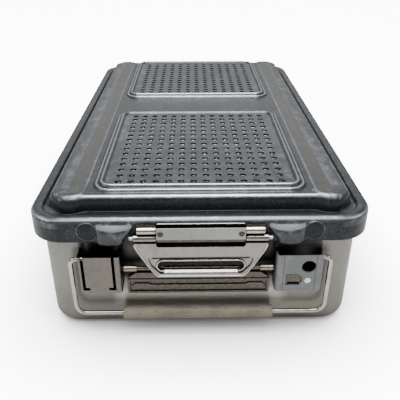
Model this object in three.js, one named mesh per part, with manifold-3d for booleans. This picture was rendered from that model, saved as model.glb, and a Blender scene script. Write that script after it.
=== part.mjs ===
// Sterilization container for surgical instruments: an aluminium base, a dark anodised lid
// with two perforated vents, and at each short end a lever latch, two brackets and a bail handle.
// Millimetres, +Z up, +X to the right, the front end at -Y, the floor at z = 0.

import * as THREE from "three";
import { mergeGeometries, mergeVertices } from "three/addons/utils/BufferGeometryUtils.js";
import Module from "manifold-3d";

const wasm = await Module();
wasm.setup();

// Driving sizes of the whole container
const lidLength = 500;
const lidWidth = 290;
const lidCorner = 30;
const baseHeight = 113.5;
const sheet = 1.6;
const seat = 0.3;
const overrun = 2;

// Base: a drawn tub with a rounded foot and a lip under the gasket
const wallInset = 7.2;
const wallSideInset = 8.7;
const footRound = 14;
const baseLip = 3.2;
const baseLipDepth = 3;

// Lid rim: skirt, round crest over the gasket, channel, then the wall up to the plateau
const skirtLap = 16.8;
const gasketHeight = 2.9;
const gasketWidth = 5;
const gasketEase = 0.6;
const rimRound = 4.5;
const rimWidth = 9;
const channelDepth = 3.2;
const channelSlope = 2;
const channelWidth = 4.5;
const plateauRise = 9.9;
const plateauLean = 1.8;
const plateauRound = 3.7;
const plateauCrown = 2.2;
const endShift = 3.5;

// Lid top: side rails, vent beads and vent holes
const railWidth = 27.8;
const railRise = 1.3;
const railRound = 13.5;
const railBevel = 1.4;
const railBulge = 4.6;
const railSetback = 1.2;
const beadWidth = 9.4;
const beadRise = 4.9;
const stepFlank = 1.2;
const stepRise = 2.4;
const stepEnd = 3.6;
const beadCrestStart = 5.4;
const beadCrestEnd = 7.4;
const panelRise = 3;
const panelMargin = 4;
const beadCorner = 16;
const ventSideMargin = 53;
const ventEndMargin = 28.6;
const bandStart = -22.5;
const bandWidth = 60;
const holeSize = 5.3;
const closePitch = 11;
const widePitch = 12;
const holeSideMargin = 19;
const holeEndMargin = 15.4;

// Skirt: the pressed shoulders that guard the hinge, and the round pads beside them
const shoulderReach = 5;
const shoulderWidth = 26;
const shoulderHeight = 21;
const shoulderPlace = 71;
const shoulderDrop = 12.2;
const padRadius = 8.8;
const padRaise = 0.6;
const padDrop = 11.6;
const padPlace = 92;

// Latch hinge: a block on the skirt with a bare name plate, two rolls and a pin
const blockWidth = 72.4;
const blockHeight = 14.7;
const blockDepth = 6;
const blockTopDrop = 4.4;
const wingThick = 1.2;
const wingHeight = 7;
const rollRadius = 3;
const rollLength = 15.6;
const wingGap = 0.6;
const rollDrop = 4.5;
const rollStand = 3.2;
const platePlayTop = 0.2;
const plateHeight = 11;
const plateThick = 0.6;
const rivetShank = 1.5;
const rivetHead = 2.3;
const rivetHeadThick = 0.6;
const rivetTailThick = 0.7;
const rivetInset = 3.2;
const pinRadius = 1.6;
const pinPlay = 0.3;
const pinOver = 3.5;
const knuckleRadius = 3;
const pinRise = 2.8;

// Latch lever: a pressed trapezoid plate with a finger slot, hung from two barrels
const leverTopWidth = 111.2;
const leverShoulderWidth = 108;
const leverKneeWidth = 88.8;
const leverBottomWidth = 74;
const leverLength = 37.3;
const leverShoulderDrop = 9.5;
const leverKneeDrop = 26.3;
const leverThick = 1.8;
const leverFlange = 3.4;
const barrelPlay = 0.6;
const windowDrop = 6.9;
const windowChamfer = 1.5;
const slotWidth = 72.8;
const slotHeight = 9.3;
const slotLift = 7.7;
const dishWidth = 96;
const dishDepth = 0.5;
const dishTopGap = 3;
const noseWidth = 20;
const noseHeight = 3.6;

// Brackets, keeper rod and latch plate on the end wall of the base
const bracketOuter = 103.5;
const cardWidth = 36;
const sealWidth = 40;
const bracketDepth = 14;
const bracketDrop = 10.9;
const bracketHeight = 36.4;
const bracketSheet = 1.5;
const bracketRound = 2;
const backRise = 8.2;
const backRound = 4;
const tongueOuterInset = 2.6;
const tongueInnerInset = 5.2;
const tongueGap = 2.2;
const tongueRoot = 2.5;
const notchWidth = 6;
const notchHeight = 2.8;
const sealHoleRadius = 6;
const sealHoleInset = 12.5;
const sealHoleDrop = 11;
const windowSideGap = 8.8;
const windowWidth = 13.8;
const windowHeight = 11.6;
const windowLift = 6.5;
const windowRecess = 0.7;
const tagSlotWidth = 10.5;
const tagSlotHeight = 2.6;
const dotRadius = 2.7;
const dotThick = 0.4;
const dotLift = 11.3;
const rodRadius = 2;
const rodDepth = 7;
const rodDrop = 15.9;
const rodTail = 2.4;
const bushRadius = 2.9;
const bushLength = 11.5;
const bushGap = 1.5;
const latchPlateSideGap = 3.1;
const latchPlateHeight = 22.3;
const latchPlateThick = 1.2;
const latchPlateGap = 6.3;
const ribRaise = 1.1;
const ribBar = 2;
const upperTierHeight = 6.1;
const tierSlant = 8;
const longRibHeight = 3.4;
const longRibEnd = 15;
const longRibSwell = 1.3;

// Bail handle: a bent wire and a sleeve
const wireRadius = 2;
const pivotPlay = 0.3;
const pivotDrop = 4.5;
const pivotDepth = 9;
const legGap = 6.6;
const bailHeight = 23;
const pivotBend = 5.5;
const bottomBend = 9;
const pivotTail = 2.5;
const gripLength = 132.5;
const gripRadius = 5.7;
const gripPlay = 0.3;
const gripSlide = 2.5;

// Filters inside the lid, their retention plates, clips, posts and turn buttons
const filterThick = 0.8;
const filterSideOver = 7;
const filterEndOver = 1.5;
const filterBandOver = 5.5;
const retainerThick = 1.5;
const retainerSideOver = 8;
const retainerEndOver = 2;
const retainerBandOver = 6.5;
const retainerCorner = 12;
const retainerBead = 1.6;
const retainerBeadWidth = 5;
const retainerBeadInset = 14;
const ventSlotLength = 42;
const ventSlotWidth = 7;
const ventSlotPitch = 50;
const ventSlotStep = 22;
const ventSlotColumns = 3;
const clipWidth = 60;
const clipThick = 1.5;
const clipLip = 5;
const postRadius = 2.5;
const postCollar = 5;
const postHeadThick = 1.3;
const buttonRadius = 8;
const buttonThick = 2.3;
const buttonReach = 22;
const buttonSetback = 12;
const buttonWidth = 10;
const finThick = 1.4;
const finHeight = 3.4;
const finStart = 7;
const finTipGap = 2;

// Heights and places that follow from the sizes above
const baseHalfX = lidWidth / 2 - wallSideInset;
const baseHalfY = lidLength / 2 - wallInset;
const baseCorner = lidCorner - wallInset;
const skirtBottom = baseHeight - skirtLap;
const gasketBottom = baseHeight + seat;
const crestTop = gasketBottom + gasketHeight + seat + sheet;
const channelTop = crestTop - channelDepth;
const centreTop = crestTop + plateauRise;
const railTop = centreTop + railRise;
const channelEnd = rimWidth + channelSlope + channelWidth;
const wallTopInset = channelEnd + plateauLean;
const centreInset = wallTopInset + plateauRound;
const ceiling = centreTop - sheet;
const wallY = -baseHalfY;
const skirtY = -lidLength / 2;
const pinY = skirtY - seat - knuckleRadius;
const blockTop = crestTop - blockTopDrop;
const blockBottom = blockTop - blockHeight;
const pinZ = blockBottom + pinRise;
const blockFace = skirtY - seat - blockDepth;
const leverFace = pinY - knuckleRadius;
const leverBack = leverFace + leverThick;
const bracketFace = wallY - bracketDepth;
const bracketTop = skirtBottom - bracketDrop;
const bracketBottom = bracketTop - bracketHeight;
const cardInner = cardWidth - bracketOuter;
const sealInner = bracketOuter - sealWidth;
const rodY = wallY - rodDepth;
const rodZ = bracketTop - rodDrop;
const pivotY = wallY - pivotDepth;
const pivotZ = bracketTop - pivotDrop;
const legX = bracketOuter + legGap;
const filterTop = ceiling - seat;
const retainerTop = filterTop - filterThick - seat;
const retainerBottom = retainerTop - retainerThick;
const ventHalfX = lidWidth / 2 - ventSideMargin;
const frontVent = { end: -1, low: skirtY + ventEndMargin, high: bandStart };
const rearVent = { end: 1, low: bandStart + bandWidth, high: -skirtY - ventEndMargin };

// Finishes
const finish = (color, roughness, metalness) =>
  new THREE.MeshStandardMaterial({ color, roughness, metalness });
const darkAnodised = finish(0x4d5154, 0.45, 0.8);
const satinAluminium = finish(0x9b9a95, 0.4, 0.85);
const satinSteel = finish(0xa7a6a2, 0.32, 0.95);
const polishedSteel = finish(0xb9b9b8, 0.18, 1);
const matteGrey = finish(0x9a9da0, 0.5, 0.6);
const silicone = finish(0x9c9788, 0.7, 0);
const gasketRubber = finish(0x8f8f8b, 0.8, 0);
const paper = finish(0xe6e6e0, 0.9, 0);
const whiteEnamel = finish(0xe8ebec, 0.5, 0);

// A closed geometry as a solid that can be joined and cut
function solid(geometry) {
  const bare = geometry.clone();
  bare.deleteAttribute("normal");
  bare.deleteAttribute("uv");
  const merged = mergeVertices(bare);
  return new wasm.Manifold(new wasm.Mesh({
    numProp: 3,
    vertProperties: new Float32Array(merged.attributes.position.array),
    triVerts: new Uint32Array(merged.index.array),
  }));
}

function geometryOf(body) {
  const mesh = body.getMesh();
  const geometry = new THREE.BufferGeometry();
  geometry.setAttribute("position", new THREE.BufferAttribute(mesh.vertProperties, 3));
  geometry.setIndex(new THREE.BufferAttribute(mesh.triVerts, 1));
  geometry.computeVertexNormals();
  return geometry;
}

function piece(name, body, material) {
  const mesh = new THREE.Mesh(geometryOf(body), material);
  mesh.name = name;
  return mesh;
}

const joined = (bodies) => bodies.reduce((sum, body) => sum.add(body));

// The corner points of a rectangle with round corners, anticlockwise from above
function roundRing(halfX, halfY, radius, steps) {
  const points = [];
  const centres = [[1, 1], [-1, 1], [-1, -1], [1, -1]];
  centres.forEach(([sideX, sideY], quarter) => {
    for (let i = 0; i <= steps; i += 1) {
      const angle = (quarter + i / steps) * Math.PI / 2;
      points.push([
        sideX * (halfX - radius) + radius * Math.cos(angle),
        sideY * (halfY - radius) + radius * Math.sin(angle),
      ]);
    }
  });
  return points;
}

const smallestCornerShare = 0.02;

function ringAt(halfX, halfY, corner, inset, endInset, steps) {
  const radius = Math.max(corner - inset, corner * smallestCornerShare);
  return roundRing(halfX - inset, halfY - endInset, radius, steps);
}

function meshOf(vertices, faces) {
  const geometry = new THREE.BufferGeometry();
  geometry.setAttribute("position", new THREE.Float32BufferAttribute(vertices.flat(), 3));
  geometry.setIndex(faces.flat());
  return solid(geometry);
}

// A solid through level rings, from its lowest ring to its cap
function stack(halfX, halfY, corner, rings, steps) {
  const vertices = [];
  const faces = [];
  rings.forEach(({ inset, endInset = inset, z }) => {
    ringAt(halfX, halfY, corner, inset, endInset, steps).forEach(([x, y]) => vertices.push([x, y, z]));
  });
  const count = vertices.length / rings.length;
  for (let level = 0; level + 1 < rings.length; level += 1) {
    for (let i = 0; i < count; i += 1) {
      const next = (i + 1) % count;
      const low = level * count;
      const high = low + count;
      faces.push([low + i, low + next, high + next], [low + i, high + next, high + i]);
    }
  }
  const top = vertices.length - count;
  for (let i = 1; i + 1 < count; i += 1) {
    faces.push([0, i + 1, i], [top, top + i, top + i + 1]);
  }
  return meshOf(vertices, faces);
}

// A closed section carried round a rectangle with round corners
function hoop(halfX, halfY, corner, section, steps) {
  const rings = section.map(([inset, z]) => {
    return ringAt(halfX, halfY, corner, inset, inset, steps).map(([x, y]) => [x, y, z]);
  });
  const count = rings[0].length;
  const faces = [];
  rings.forEach((_, k) => {
    const here = k * count;
    const there = ((k + 1) % rings.length) * count;
    for (let i = 0; i < count; i += 1) {
      const next = (i + 1) % count;
      faces.push([here + i, there + i, there + next], [here + i, there + next, here + next]);
    }
  });
  return meshOf(rings.flat(), faces);
}

function block(x0, x1, y0, y1, z0, z1) {
  const geometry = new THREE.BoxGeometry(x1 - x0, y1 - y0, z1 - z0);
  geometry.translate((x0 + x1) / 2, (y0 + y1) / 2, (z0 + z1) / 2);
  return solid(geometry);
}

// A round bar along X
function bar(x0, x1, y, z, radius, sides) {
  const geometry = new THREE.CylinderGeometry(radius, radius, x1 - x0, sides);
  geometry.rotateY(Math.PI / sides);
  geometry.rotateZ(Math.PI / 2);
  geometry.translate((x0 + x1) / 2, y, z);
  return solid(geometry);
}

// A round bar along Y
function studY(x, y0, y1, z, radius, sides) {
  const geometry = new THREE.CylinderGeometry(radius, radius, y1 - y0, sides);
  geometry.rotateY(Math.PI / sides);
  geometry.translate(x, (y0 + y1) / 2, z);
  return solid(geometry);
}

function studZ(x, y, z0, z1, radius, sides) {
  const geometry = new THREE.CylinderGeometry(radius, radius, z1 - z0, sides);
  geometry.rotateX(Math.PI / 2);
  geometry.translate(x, y, (z0 + z1) / 2);
  return solid(geometry);
}

// A flat plate that stands in the XZ plane, from its back face towards -Y
function upright(outline, back, depth) {
  const shape = new THREE.Shape(outline.map(([x, z]) => new THREE.Vector2(x, z)));
  const geometry = new THREE.ExtrudeGeometry(shape, { depth, bevelEnabled: false });
  geometry.rotateX(Math.PI / 2);
  geometry.translate(0, back, 0);
  return solid(geometry);
}

// A round wire through points in an XZ plane, mitred at each bend
function planarWire(points, y, radius, sides) {
  const vertices = [];
  const faces = [];
  const path = points.map(([x, z]) => new THREE.Vector2(x, z));
  path.forEach((point, i) => {
    const before = path[Math.max(i - 1, 0)];
    const after = path[Math.min(i + 1, path.length - 1)];
    const into = point.clone().sub(before).normalize();
    const out = after.clone().sub(point).normalize();
    const along = into.clone().add(out).normalize();
    const straight = into.lengthSq() && out.lengthSq() ? into : along;
    const stretch = 1 / along.dot(straight);
    for (let k = 0; k < sides; k += 1) {
      const angle = (k + 1 / 2) * 2 * Math.PI / sides;
      const side = radius * stretch * Math.cos(angle);
      vertices.push([point.x - along.y * side, y + radius * Math.sin(angle), point.y + along.x * side]);
    }
  });
  for (let i = 0; i + 1 < path.length; i += 1) {
    for (let k = 0; k < sides; k += 1) {
      const next = (k + 1) % sides;
      const here = i * sides;
      const there = here + sides;
      faces.push([here + k, there + next, here + next], [here + k, there + k, there + next]);
    }
  }
  const last = vertices.length - sides;
  for (let k = 1; k + 1 < sides; k += 1) {
    faces.push([0, k, k + 1], [last, last + k + 1, last + k]);
  }
  return meshOf(vertices, faces);
}

const mirrored = (outline) => [...outline, ...outline.map(([x, z]) => [-x, z]).reverse()];

// Base tub
function footRings(depth) {
  const steps = 4;
  const radius = footRound - depth;
  return Array.from({ length: steps + 1 }, (_, i) => {
    const angle = i / steps * Math.PI / 2;
    return { inset: footRound - radius * Math.sin(angle), z: footRound - radius * Math.cos(angle) };
  });
}

function baseShell() {
  const lipUnder = baseHeight - baseLipDepth;
  const outer = stack(baseHalfX, baseHalfY, baseCorner, [
    ...footRings(0),
    { inset: 0, z: lipUnder - baseLip },
    { inset: -baseLip, z: lipUnder },
    { inset: -baseLip, z: baseHeight },
  ], 5);
  const inner = stack(baseHalfX, baseHalfY, baseCorner, [
    ...footRings(sheet),
    { inset: sheet, z: baseHeight + overrun },
  ], 5);
  return piece("base_shell", outer.subtract(inner), satinAluminium);
}

// Lid profile from the skirt's edge to the flat centre, as inset and height
function lidProfile() {
  const steps = 3;
  const crest = Array.from({ length: steps + 1 }, (_, i) => {
    const angle = i / steps * Math.PI / 2;
    const inset = rimRound * (1 - Math.cos(angle));
    return { inset, z: crestTop - rimRound * (1 - Math.sin(angle)), shift: 0 };
  });
  const halfShare = 1 - Math.SQRT1_2;
  return [
    { inset: 0, z: skirtBottom, shift: 0 },
    ...crest,
    { inset: rimWidth, z: crestTop, shift: 0 },
    { inset: rimWidth + channelSlope, z: channelTop, shift: 0 },
    { inset: channelEnd, z: channelTop, shift: endShift },
    { inset: wallTopInset, z: centreTop - plateauCrown, shift: endShift },
    {
      inset: wallTopInset + plateauRound * halfShare,
      z: centreTop - plateauCrown * halfShare,
      shift: endShift,
    },
    { inset: centreInset, z: centreTop, shift: endShift },
  ];
}

// The same profile moved inwards by the thickness of the sheet
function inwards(profile, depth) {
  return profile.map((point, i) => {
    const before = profile[Math.max(i - 1, 0)];
    const after = profile[Math.min(i + 1, profile.length - 1)];
    const into = new THREE.Vector2(point.inset - before.inset, point.z - before.z).normalize();
    const out = new THREE.Vector2(after.inset - point.inset, after.z - point.z).normalize();
    const along = into.clone().add(out).normalize();
    const reach = depth / along.dot(into.lengthSq() ? into : out);
    return { inset: point.inset + along.y * reach, z: point.z - along.x * reach, shift: point.shift };
  });
}

const levels = (profile) => profile.map(({ inset, z, shift = 0 }) => {
  return { inset, endInset: inset + shift, z };
});

function lidVolume(profile) {
  return stack(lidWidth / 2, lidLength / 2, lidCorner, levels(profile), 6);
}

// One side rail, whose round ends stand out over the channel
function rail(side, depth) {
  const halfWidth = railWidth / 2;
  const halfLength = lidLength / 2 - wallTopInset - endShift + railBulge;
  const profile = inwards([
    { inset: 0, z: channelTop },
    { inset: 0, z: railTop - railBevel },
    { inset: railBevel, z: railTop },
    { inset: railBevel + railBevel, z: railTop },
  ], depth);
  const body = stack(halfWidth, halfLength, railRound, levels(profile), 4);
  return body.translate([side * (lidWidth / 2 - wallTopInset - railSetback - halfWidth), 0, 0]);
}

const ventMiddle = (vent) => (vent.low + vent.high) / 2;

// A vent: a stepped bead rises from the plateau and drops to the perforated panel inside it
function ventPlatform(vent, depth) {
  const crest = centreTop + beadRise;
  const root = sheet + sheet;
  const panel = centreTop + panelRise;
  const profile = inwards([
    { inset: -root * stepFlank / stepRise, z: centreTop - root },
    { inset: stepFlank, z: centreTop + stepRise },
    { inset: stepEnd, z: centreTop + stepRise },
    { inset: beadCrestStart, z: crest },
    { inset: beadCrestEnd, z: crest },
    { inset: beadWidth, z: panel },
    { inset: beadWidth + panelMargin, z: panel },
  ], depth);
  const halfY = (vent.high - vent.low) / 2;
  return stack(ventHalfX, halfY, beadCorner, levels(profile), 4).translate([0, ventMiddle(vent), 0]);
}

// Holes in rows and columns, four-sided with the open area of round ones, as one set of cutters
const squareShare = Math.sqrt(Math.PI / 2);

function ventHoles(vent, pitchX, pitchY) {
  const cutters = [];
  const middle = ventMiddle(vent);
  const across = ventHalfX + ventHalfX - holeSideMargin - holeSideMargin;
  const along = vent.high - vent.low - holeEndMargin - holeEndMargin;
  const columns = 1 + Math.floor(across / pitchX);
  const rows = 1 + Math.floor(along / pitchY);
  const height = sheet + overrun + overrun;
  const radius = holeSize / 2 * squareShare;
  for (let row = 0; row < rows; row += 1) {
    for (let column = 0; column < columns; column += 1) {
      const hole = new THREE.CylinderGeometry(radius, radius, height, 4);
      hole.rotateX(Math.PI / 2);
      const x = (column - (columns - 1) / 2) * pitchX;
      const y = middle + (row - (rows - 1) / 2) * pitchY;
      hole.translate(x, y, centreTop + panelRise - sheet / 2);
      cutters.push(hole);
    }
  }
  return solid(mergeGeometries(cutters));
}

function skirtShoulder(side, end) {
  const ball = new THREE.SphereGeometry(shoulderWidth / 2, 12, 8);
  ball.scale(1, 2 * shoulderReach / shoulderWidth, shoulderHeight / shoulderWidth);
  ball.translate(side * shoulderPlace, end * skirtY, crestTop - shoulderDrop);
  return solid(ball);
}

function skirtPad(side, end) {
  const z = crestTop - padDrop;
  const face = skirtY - padRaise;
  const y0 = end > 0 ? face : -skirtY - sheet / 2;
  const y1 = end > 0 ? skirtY + sheet / 2 : -face;
  return studY(side * padPlace, y0, y1, z, padRadius, 16);
}

function rivetPlaces() {
  const x = blockWidth / 2 - rivetInset;
  return { x, z: blockTop - platePlayTop - plateHeight / 2 };
}

function lidShell() {
  const profile = lidProfile();
  const inside = inwards(profile, sheet);
  inside[0].z -= overrun;
  const sides = [-1, 1];
  const ends = [-1, 1];
  const skirtFeatures = sides.flatMap((side) => ends.flatMap((end) => {
    return [skirtShoulder(side, end), skirtPad(side, end)];
  }));
  const raised = (depth) => [
    rail(-1, depth),
    rail(1, depth),
    ventPlatform(frontVent, depth),
    ventPlatform(rearVent, depth),
  ];
  const outer = joined([lidVolume(profile), ...raised(0), ...skirtFeatures]);
  let lid = outer.subtract(joined([lidVolume(inside), ...raised(sheet)]));
  lid = lid.subtract(ventHoles(frontVent, closePitch, widePitch));
  lid = lid.subtract(ventHoles(rearVent, widePitch, closePitch));
  const { x, z } = rivetPlaces();
  sides.forEach((side) => {
    const reach = lidLength / 2 + shoulderReach + overrun;
    const hole = studY(side * x, -reach, reach, z, rivetShank + seat, 8);
    lid = lid.subtract(hole);
  });
  return piece("lid_shell", lid, darkAnodised);
}

function lidGasket() {
  const low = gasketBottom;
  const high = low + gasketHeight;
  const near = sheet + gasketEase;
  const far = near + gasketWidth;
  const cut = (rimRound - sheet) * Math.SQRT1_2;
  const section = [[near, low], [far, low], [far, high], [near + cut, high], [near, high - cut]];
  return piece("lid_gasket", hoop(lidWidth / 2, lidLength / 2, lidCorner, section, 6), gasketRubber);
}

// Inside of the lid: filter, retention plate, clip, post and turn button of one vent
function spread(vent, endOver, bandOver) {
  const low = vent.low - (vent.end < 0 ? endOver : bandOver);
  const high = vent.high + (vent.end < 0 ? bandOver : endOver);
  return { low, high, halfY: (high - low) / 2, middle: (low + high) / 2 };
}

const retainerSpan = (vent) => spread(vent, retainerEndOver, retainerBandOver);

function filterSheet(name, vent) {
  const { halfY, middle } = spread(vent, filterEndOver, filterBandOver);
  const flat = stack(ventHalfX + filterSideOver, halfY, retainerCorner, [
    { inset: 0, z: filterTop - filterThick },
    { inset: 0, z: filterTop },
  ], 3);
  return piece(name, flat.translate([0, middle, 0]), paper);
}

function steamSlots(halfY) {
  const room = halfY - retainerBeadInset - retainerBeadWidth - ventSlotWidth;
  const rows = 1 + 2 * Math.floor(room / ventSlotStep);
  const depth = retainerThick + overrun + overrun;
  const slots = [];
  for (let row = 0; row < rows; row += 1) {
    for (let column = 0; column < ventSlotColumns; column += 1) {
      const x = (column - (ventSlotColumns - 1) / 2) * ventSlotPitch;
      const y = (row - (rows - 1) / 2) * ventSlotStep;
      const slot = new THREE.BoxGeometry(ventSlotLength, ventSlotWidth, depth);
      slot.translate(x, y, retainerTop - retainerThick / 2);
      slots.push(slot);
    }
  }
  return solid(mergeGeometries(slots));
}

// A slotted plate with a stiffening bead, which presses the filter against the lid
function retentionPlate(name, vent) {
  const halfX = ventHalfX + retainerSideOver;
  const { halfY, middle } = retainerSpan(vent);
  let plate = stack(halfX, halfY, retainerCorner, [
    { inset: 0, z: retainerBottom },
    { inset: 0, z: retainerTop },
  ], 3);
  const low = retainerBottom - retainerBead;
  const root = retainerBottom + retainerThick / 2;
  const far = retainerBeadInset + retainerBeadWidth;
  const bead = hoop(halfX, halfY, retainerCorner, [
    [retainerBeadInset, root],
    [retainerBeadInset, low],
    [far, low],
    [far, root],
  ], 3);
  plate = plate.add(bead).subtract(steamSlots(halfY));
  return piece(name, plate.translate([0, middle, 0]), satinAluminium);
}

const span = (a, b) => [Math.min(a, b), Math.max(a, b)];

// The clip hooks the outer edge of the plate
function plateClip(name, vent) {
  const { low, high } = retainerSpan(vent);
  const edge = vent.end < 0 ? low : high;
  const near = edge + vent.end * seat;
  const far = near + vent.end * clipThick;
  const tip = edge - vent.end * clipLip;
  const lipTop = retainerBottom - seat;
  const lipBottom = lipTop - clipThick;
  const halfWidth = clipWidth / 2;
  const leg = block(-halfWidth, halfWidth, ...span(near, far), lipBottom, filterTop);
  const lip = block(-halfWidth, halfWidth, ...span(tip, far), lipBottom, lipTop);
  return piece(name, leg.add(lip), satinSteel);
}

function buttonPlace(vent) {
  const { low, high } = retainerSpan(vent);
  return (vent.end < 0 ? high : low) - vent.end * buttonSetback;
}

function buttonPost(name, vent) {
  const headTop = retainerBottom - seat - buttonThick - seat;
  const profile = [
    [0, headTop - postHeadThick],
    [postCollar, headTop - postHeadThick],
    [postCollar, headTop],
    [postRadius, headTop],
    [postRadius, retainerBottom],
    [postCollar, retainerBottom],
    [postCollar, filterTop],
    [0, filterTop],
  ].map(([r, z]) => new THREE.Vector2(r, z));
  const turned = new THREE.LatheGeometry(profile, 12);
  turned.rotateX(Math.PI / 2);
  turned.translate(0, buttonPlace(vent), 0);
  return piece(name, solid(turned), satinSteel);
}

// The turn button reaches under the inner edge of the plate, with a fin for the finger
function turnButton(name, vent) {
  const top = retainerBottom - seat;
  const low = top - buttonThick;
  const y = buttonPlace(vent);
  const tip = y + vent.end * buttonReach;
  const half = buttonWidth / 2;
  const fin = finThick / 2;
  const finEnds = span(y + vent.end * finStart, tip - vent.end * finTipGap);
  const hub = studZ(0, y, low, top, buttonRadius, 16);
  const wing = block(-half, half, ...span(y, tip), low, top);
  const grip = block(-fin, fin, ...finEnds, low - finHeight, top - buttonThick / 2);
  const bore = studZ(0, y, low - overrun, top + overrun, postRadius + seat, 12);
  return piece(name, joined([hub, wing, grip]).subtract(bore), satinSteel);
}

// Latch hinge on the lid's skirt
function hingeBlock(name) {
  const half = blockWidth / 2;
  const back = skirtY - seat;
  const rollZ = blockTop - rollDrop;
  const wingEnd = half + wingGap + rollLength;
  let leaf = block(-half, half, blockFace, back, blockBottom, blockTop);
  leaf = leaf.add(block(-wingEnd, wingEnd, back - wingThick, back, blockTop - wingHeight, blockTop));
  [-1, 1].forEach((side) => {
    const x0 = side < 0 ? -wingEnd : half - overrun;
    const roll = bar(x0, x0 + rollLength + wingGap + overrun, back - rollStand, rollZ, rollRadius, 10);
    leaf = leaf.add(roll);
    const { x, z } = rivetPlaces();
    leaf = leaf.subtract(studY(side * x, blockFace - overrun, back + overrun, z, rivetShank + seat, 8));
  });
  leaf = leaf.subtract(bar(-half - overrun, half + overrun, pinY, pinZ, pinRadius + pinPlay, 10));
  return piece(name, leaf, satinSteel);
}

function namePlate(name) {
  const half = blockWidth / 2;
  const top = blockTop - platePlayTop;
  const back = blockFace - seat;
  let plate = block(-half, half, back - plateThick, back, top - plateHeight, top);
  const { x, z } = rivetPlaces();
  [-1, 1].forEach((side) => {
    const hole = studY(side * x, back - plateThick - overrun, back + overrun, z, rivetShank + seat, 8);
    plate = plate.subtract(hole);
  });
  return piece(name, plate, satinSteel);
}

function rivet(name, side) {
  const { x, z } = rivetPlaces();
  const face = blockFace - seat - plateThick - seat;
  const inside = skirtY + sheet + seat;
  const shank = studY(side * x, face, inside, z, rivetShank, 8);
  const head = studY(side * x, face - rivetHeadThick, face, z, rivetHead, 10);
  const tail = studY(side * x, inside, inside + rivetTailThick, z, rivetHead, 10);
  return piece(name, joined([shank, head, tail]), satinSteel);
}

function hingePin(name) {
  const half = leverTopWidth / 2 + pinOver;
  return piece(name, bar(-half, half, pinY, pinZ, pinRadius, 8), polishedSteel);
}

// Latch lever, hung from the pin
function latchLever(name) {
  const inner = blockWidth / 2 + barrelPlay;
  const outer = leverTopWidth / 2;
  const bottom = pinZ - leverLength;
  const outline = mirrored([
    [outer, pinZ],
    [leverShoulderWidth / 2, pinZ - leverShoulderDrop],
    [leverKneeWidth / 2, pinZ - leverKneeDrop],
    [leverBottomWidth / 2, bottom],
  ]);
  const shrink = (share) => mirrored([
    [outer - share, pinZ + overrun],
    [leverShoulderWidth / 2 - share, pinZ - leverShoulderDrop],
    [leverKneeWidth / 2 - share, pinZ - leverKneeDrop],
    [leverBottomWidth / 2 - share, bottom + share],
  ]);
  const wallDepth = leverFlange - leverThick;
  let lever = upright(outline, leverBack, leverThick);
  const pan = upright(outline, leverBack + wallDepth, wallDepth);
  const hollow = upright(shrink(leverThick), leverBack + wallDepth + overrun, wallDepth + 2 * overrun);
  const edge = pan.subtract(hollow);
  const windowLow = pinZ - windowDrop;
  const window = mirrored([
    [inner, pinZ + knuckleRadius + overrun],
    [inner, windowLow + windowChamfer],
    [inner - windowChamfer, windowLow],
  ]);
  const through = leverFlange + 2 * overrun;
  const cutBack = leverBack + wallDepth + overrun;
  lever = lever.add(edge);
  const slotLow = bottom + slotLift;
  const radius = slotHeight / 2;
  const slotEnd = slotWidth / 2 - radius;
  const slot = block(-slotEnd, slotEnd, cutBack - through, cutBack, slotLow, slotLow + slotHeight);
  lever = lever.subtract(slot);
  [-1, 1].forEach((side) => {
    const x = side * slotEnd;
    lever = lever.subtract(studY(x, cutBack - through, cutBack, slotLow + radius, radius, 16));
  });
  const dishTop = slotLow + slotHeight + dishTopGap;
  const dish = mirrored([
    [dishWidth / 2 - dishTopGap, dishTop],
    [leverKneeWidth / 2 - dishTopGap, pinZ - leverKneeDrop],
    [leverBottomWidth / 2 - dishTopGap, bottom + dishTopGap],
  ]);
  lever = lever.subtract(upright(dish, leverFace + dishDepth, dishDepth + overrun));
  [-1, 1].forEach((side) => {
    const x0 = side < 0 ? -outer : inner;
    lever = lever.add(bar(x0, x0 + outer - inner, pinY, pinZ, knuckleRadius, 12));
  });
  lever = lever.subtract(upright(window, pinY + knuckleRadius + overrun, knuckleRadius * 2 + 2 * overrun));
  lever = lever.subtract(bar(-outer - overrun, outer + overrun, pinY, pinZ, pinRadius + pinPlay, 10));
  const noseTip = rodY - rodRadius - seat;
  const noseLow = rodZ - noseHeight / 2;
  const nose = block(-noseWidth / 2, noseWidth / 2, leverBack - leverThick / 2, noseTip, noseLow,
    noseLow + noseHeight);
  return piece(name, lever.add(nose), satinSteel);
}

// A box shape with two round front corners, seen from above
function roundFront(x0, x1, face, back, radius, z0, z1) {
  const shape = new THREE.Shape();
  shape.moveTo(x0, back);
  shape.lineTo(x0, face + radius);
  shape.absarc(x0 + radius, face + radius, radius, Math.PI, 3 * Math.PI / 2, false);
  shape.lineTo(x1 - radius, face);
  shape.absarc(x1 - radius, face + radius, radius, -Math.PI / 2, 0, false);
  shape.lineTo(x1, back);
  const depth = z1 - z0;
  const geometry = new THREE.ExtrudeGeometry(shape, { depth, bevelEnabled: false, curveSegments: 3 });
  geometry.translate(0, 0, z0);
  return solid(geometry);
}

// Quarter bends, as points
function bend(cornerX, cornerZ, radius, from, to) {
  const steps = 4;
  return Array.from({ length: steps + 1 }, (_, i) => {
    const angle = from + (to - from) * i / steps;
    return [cornerX + radius * Math.cos(angle), cornerZ + radius * Math.sin(angle)];
  });
}

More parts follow.
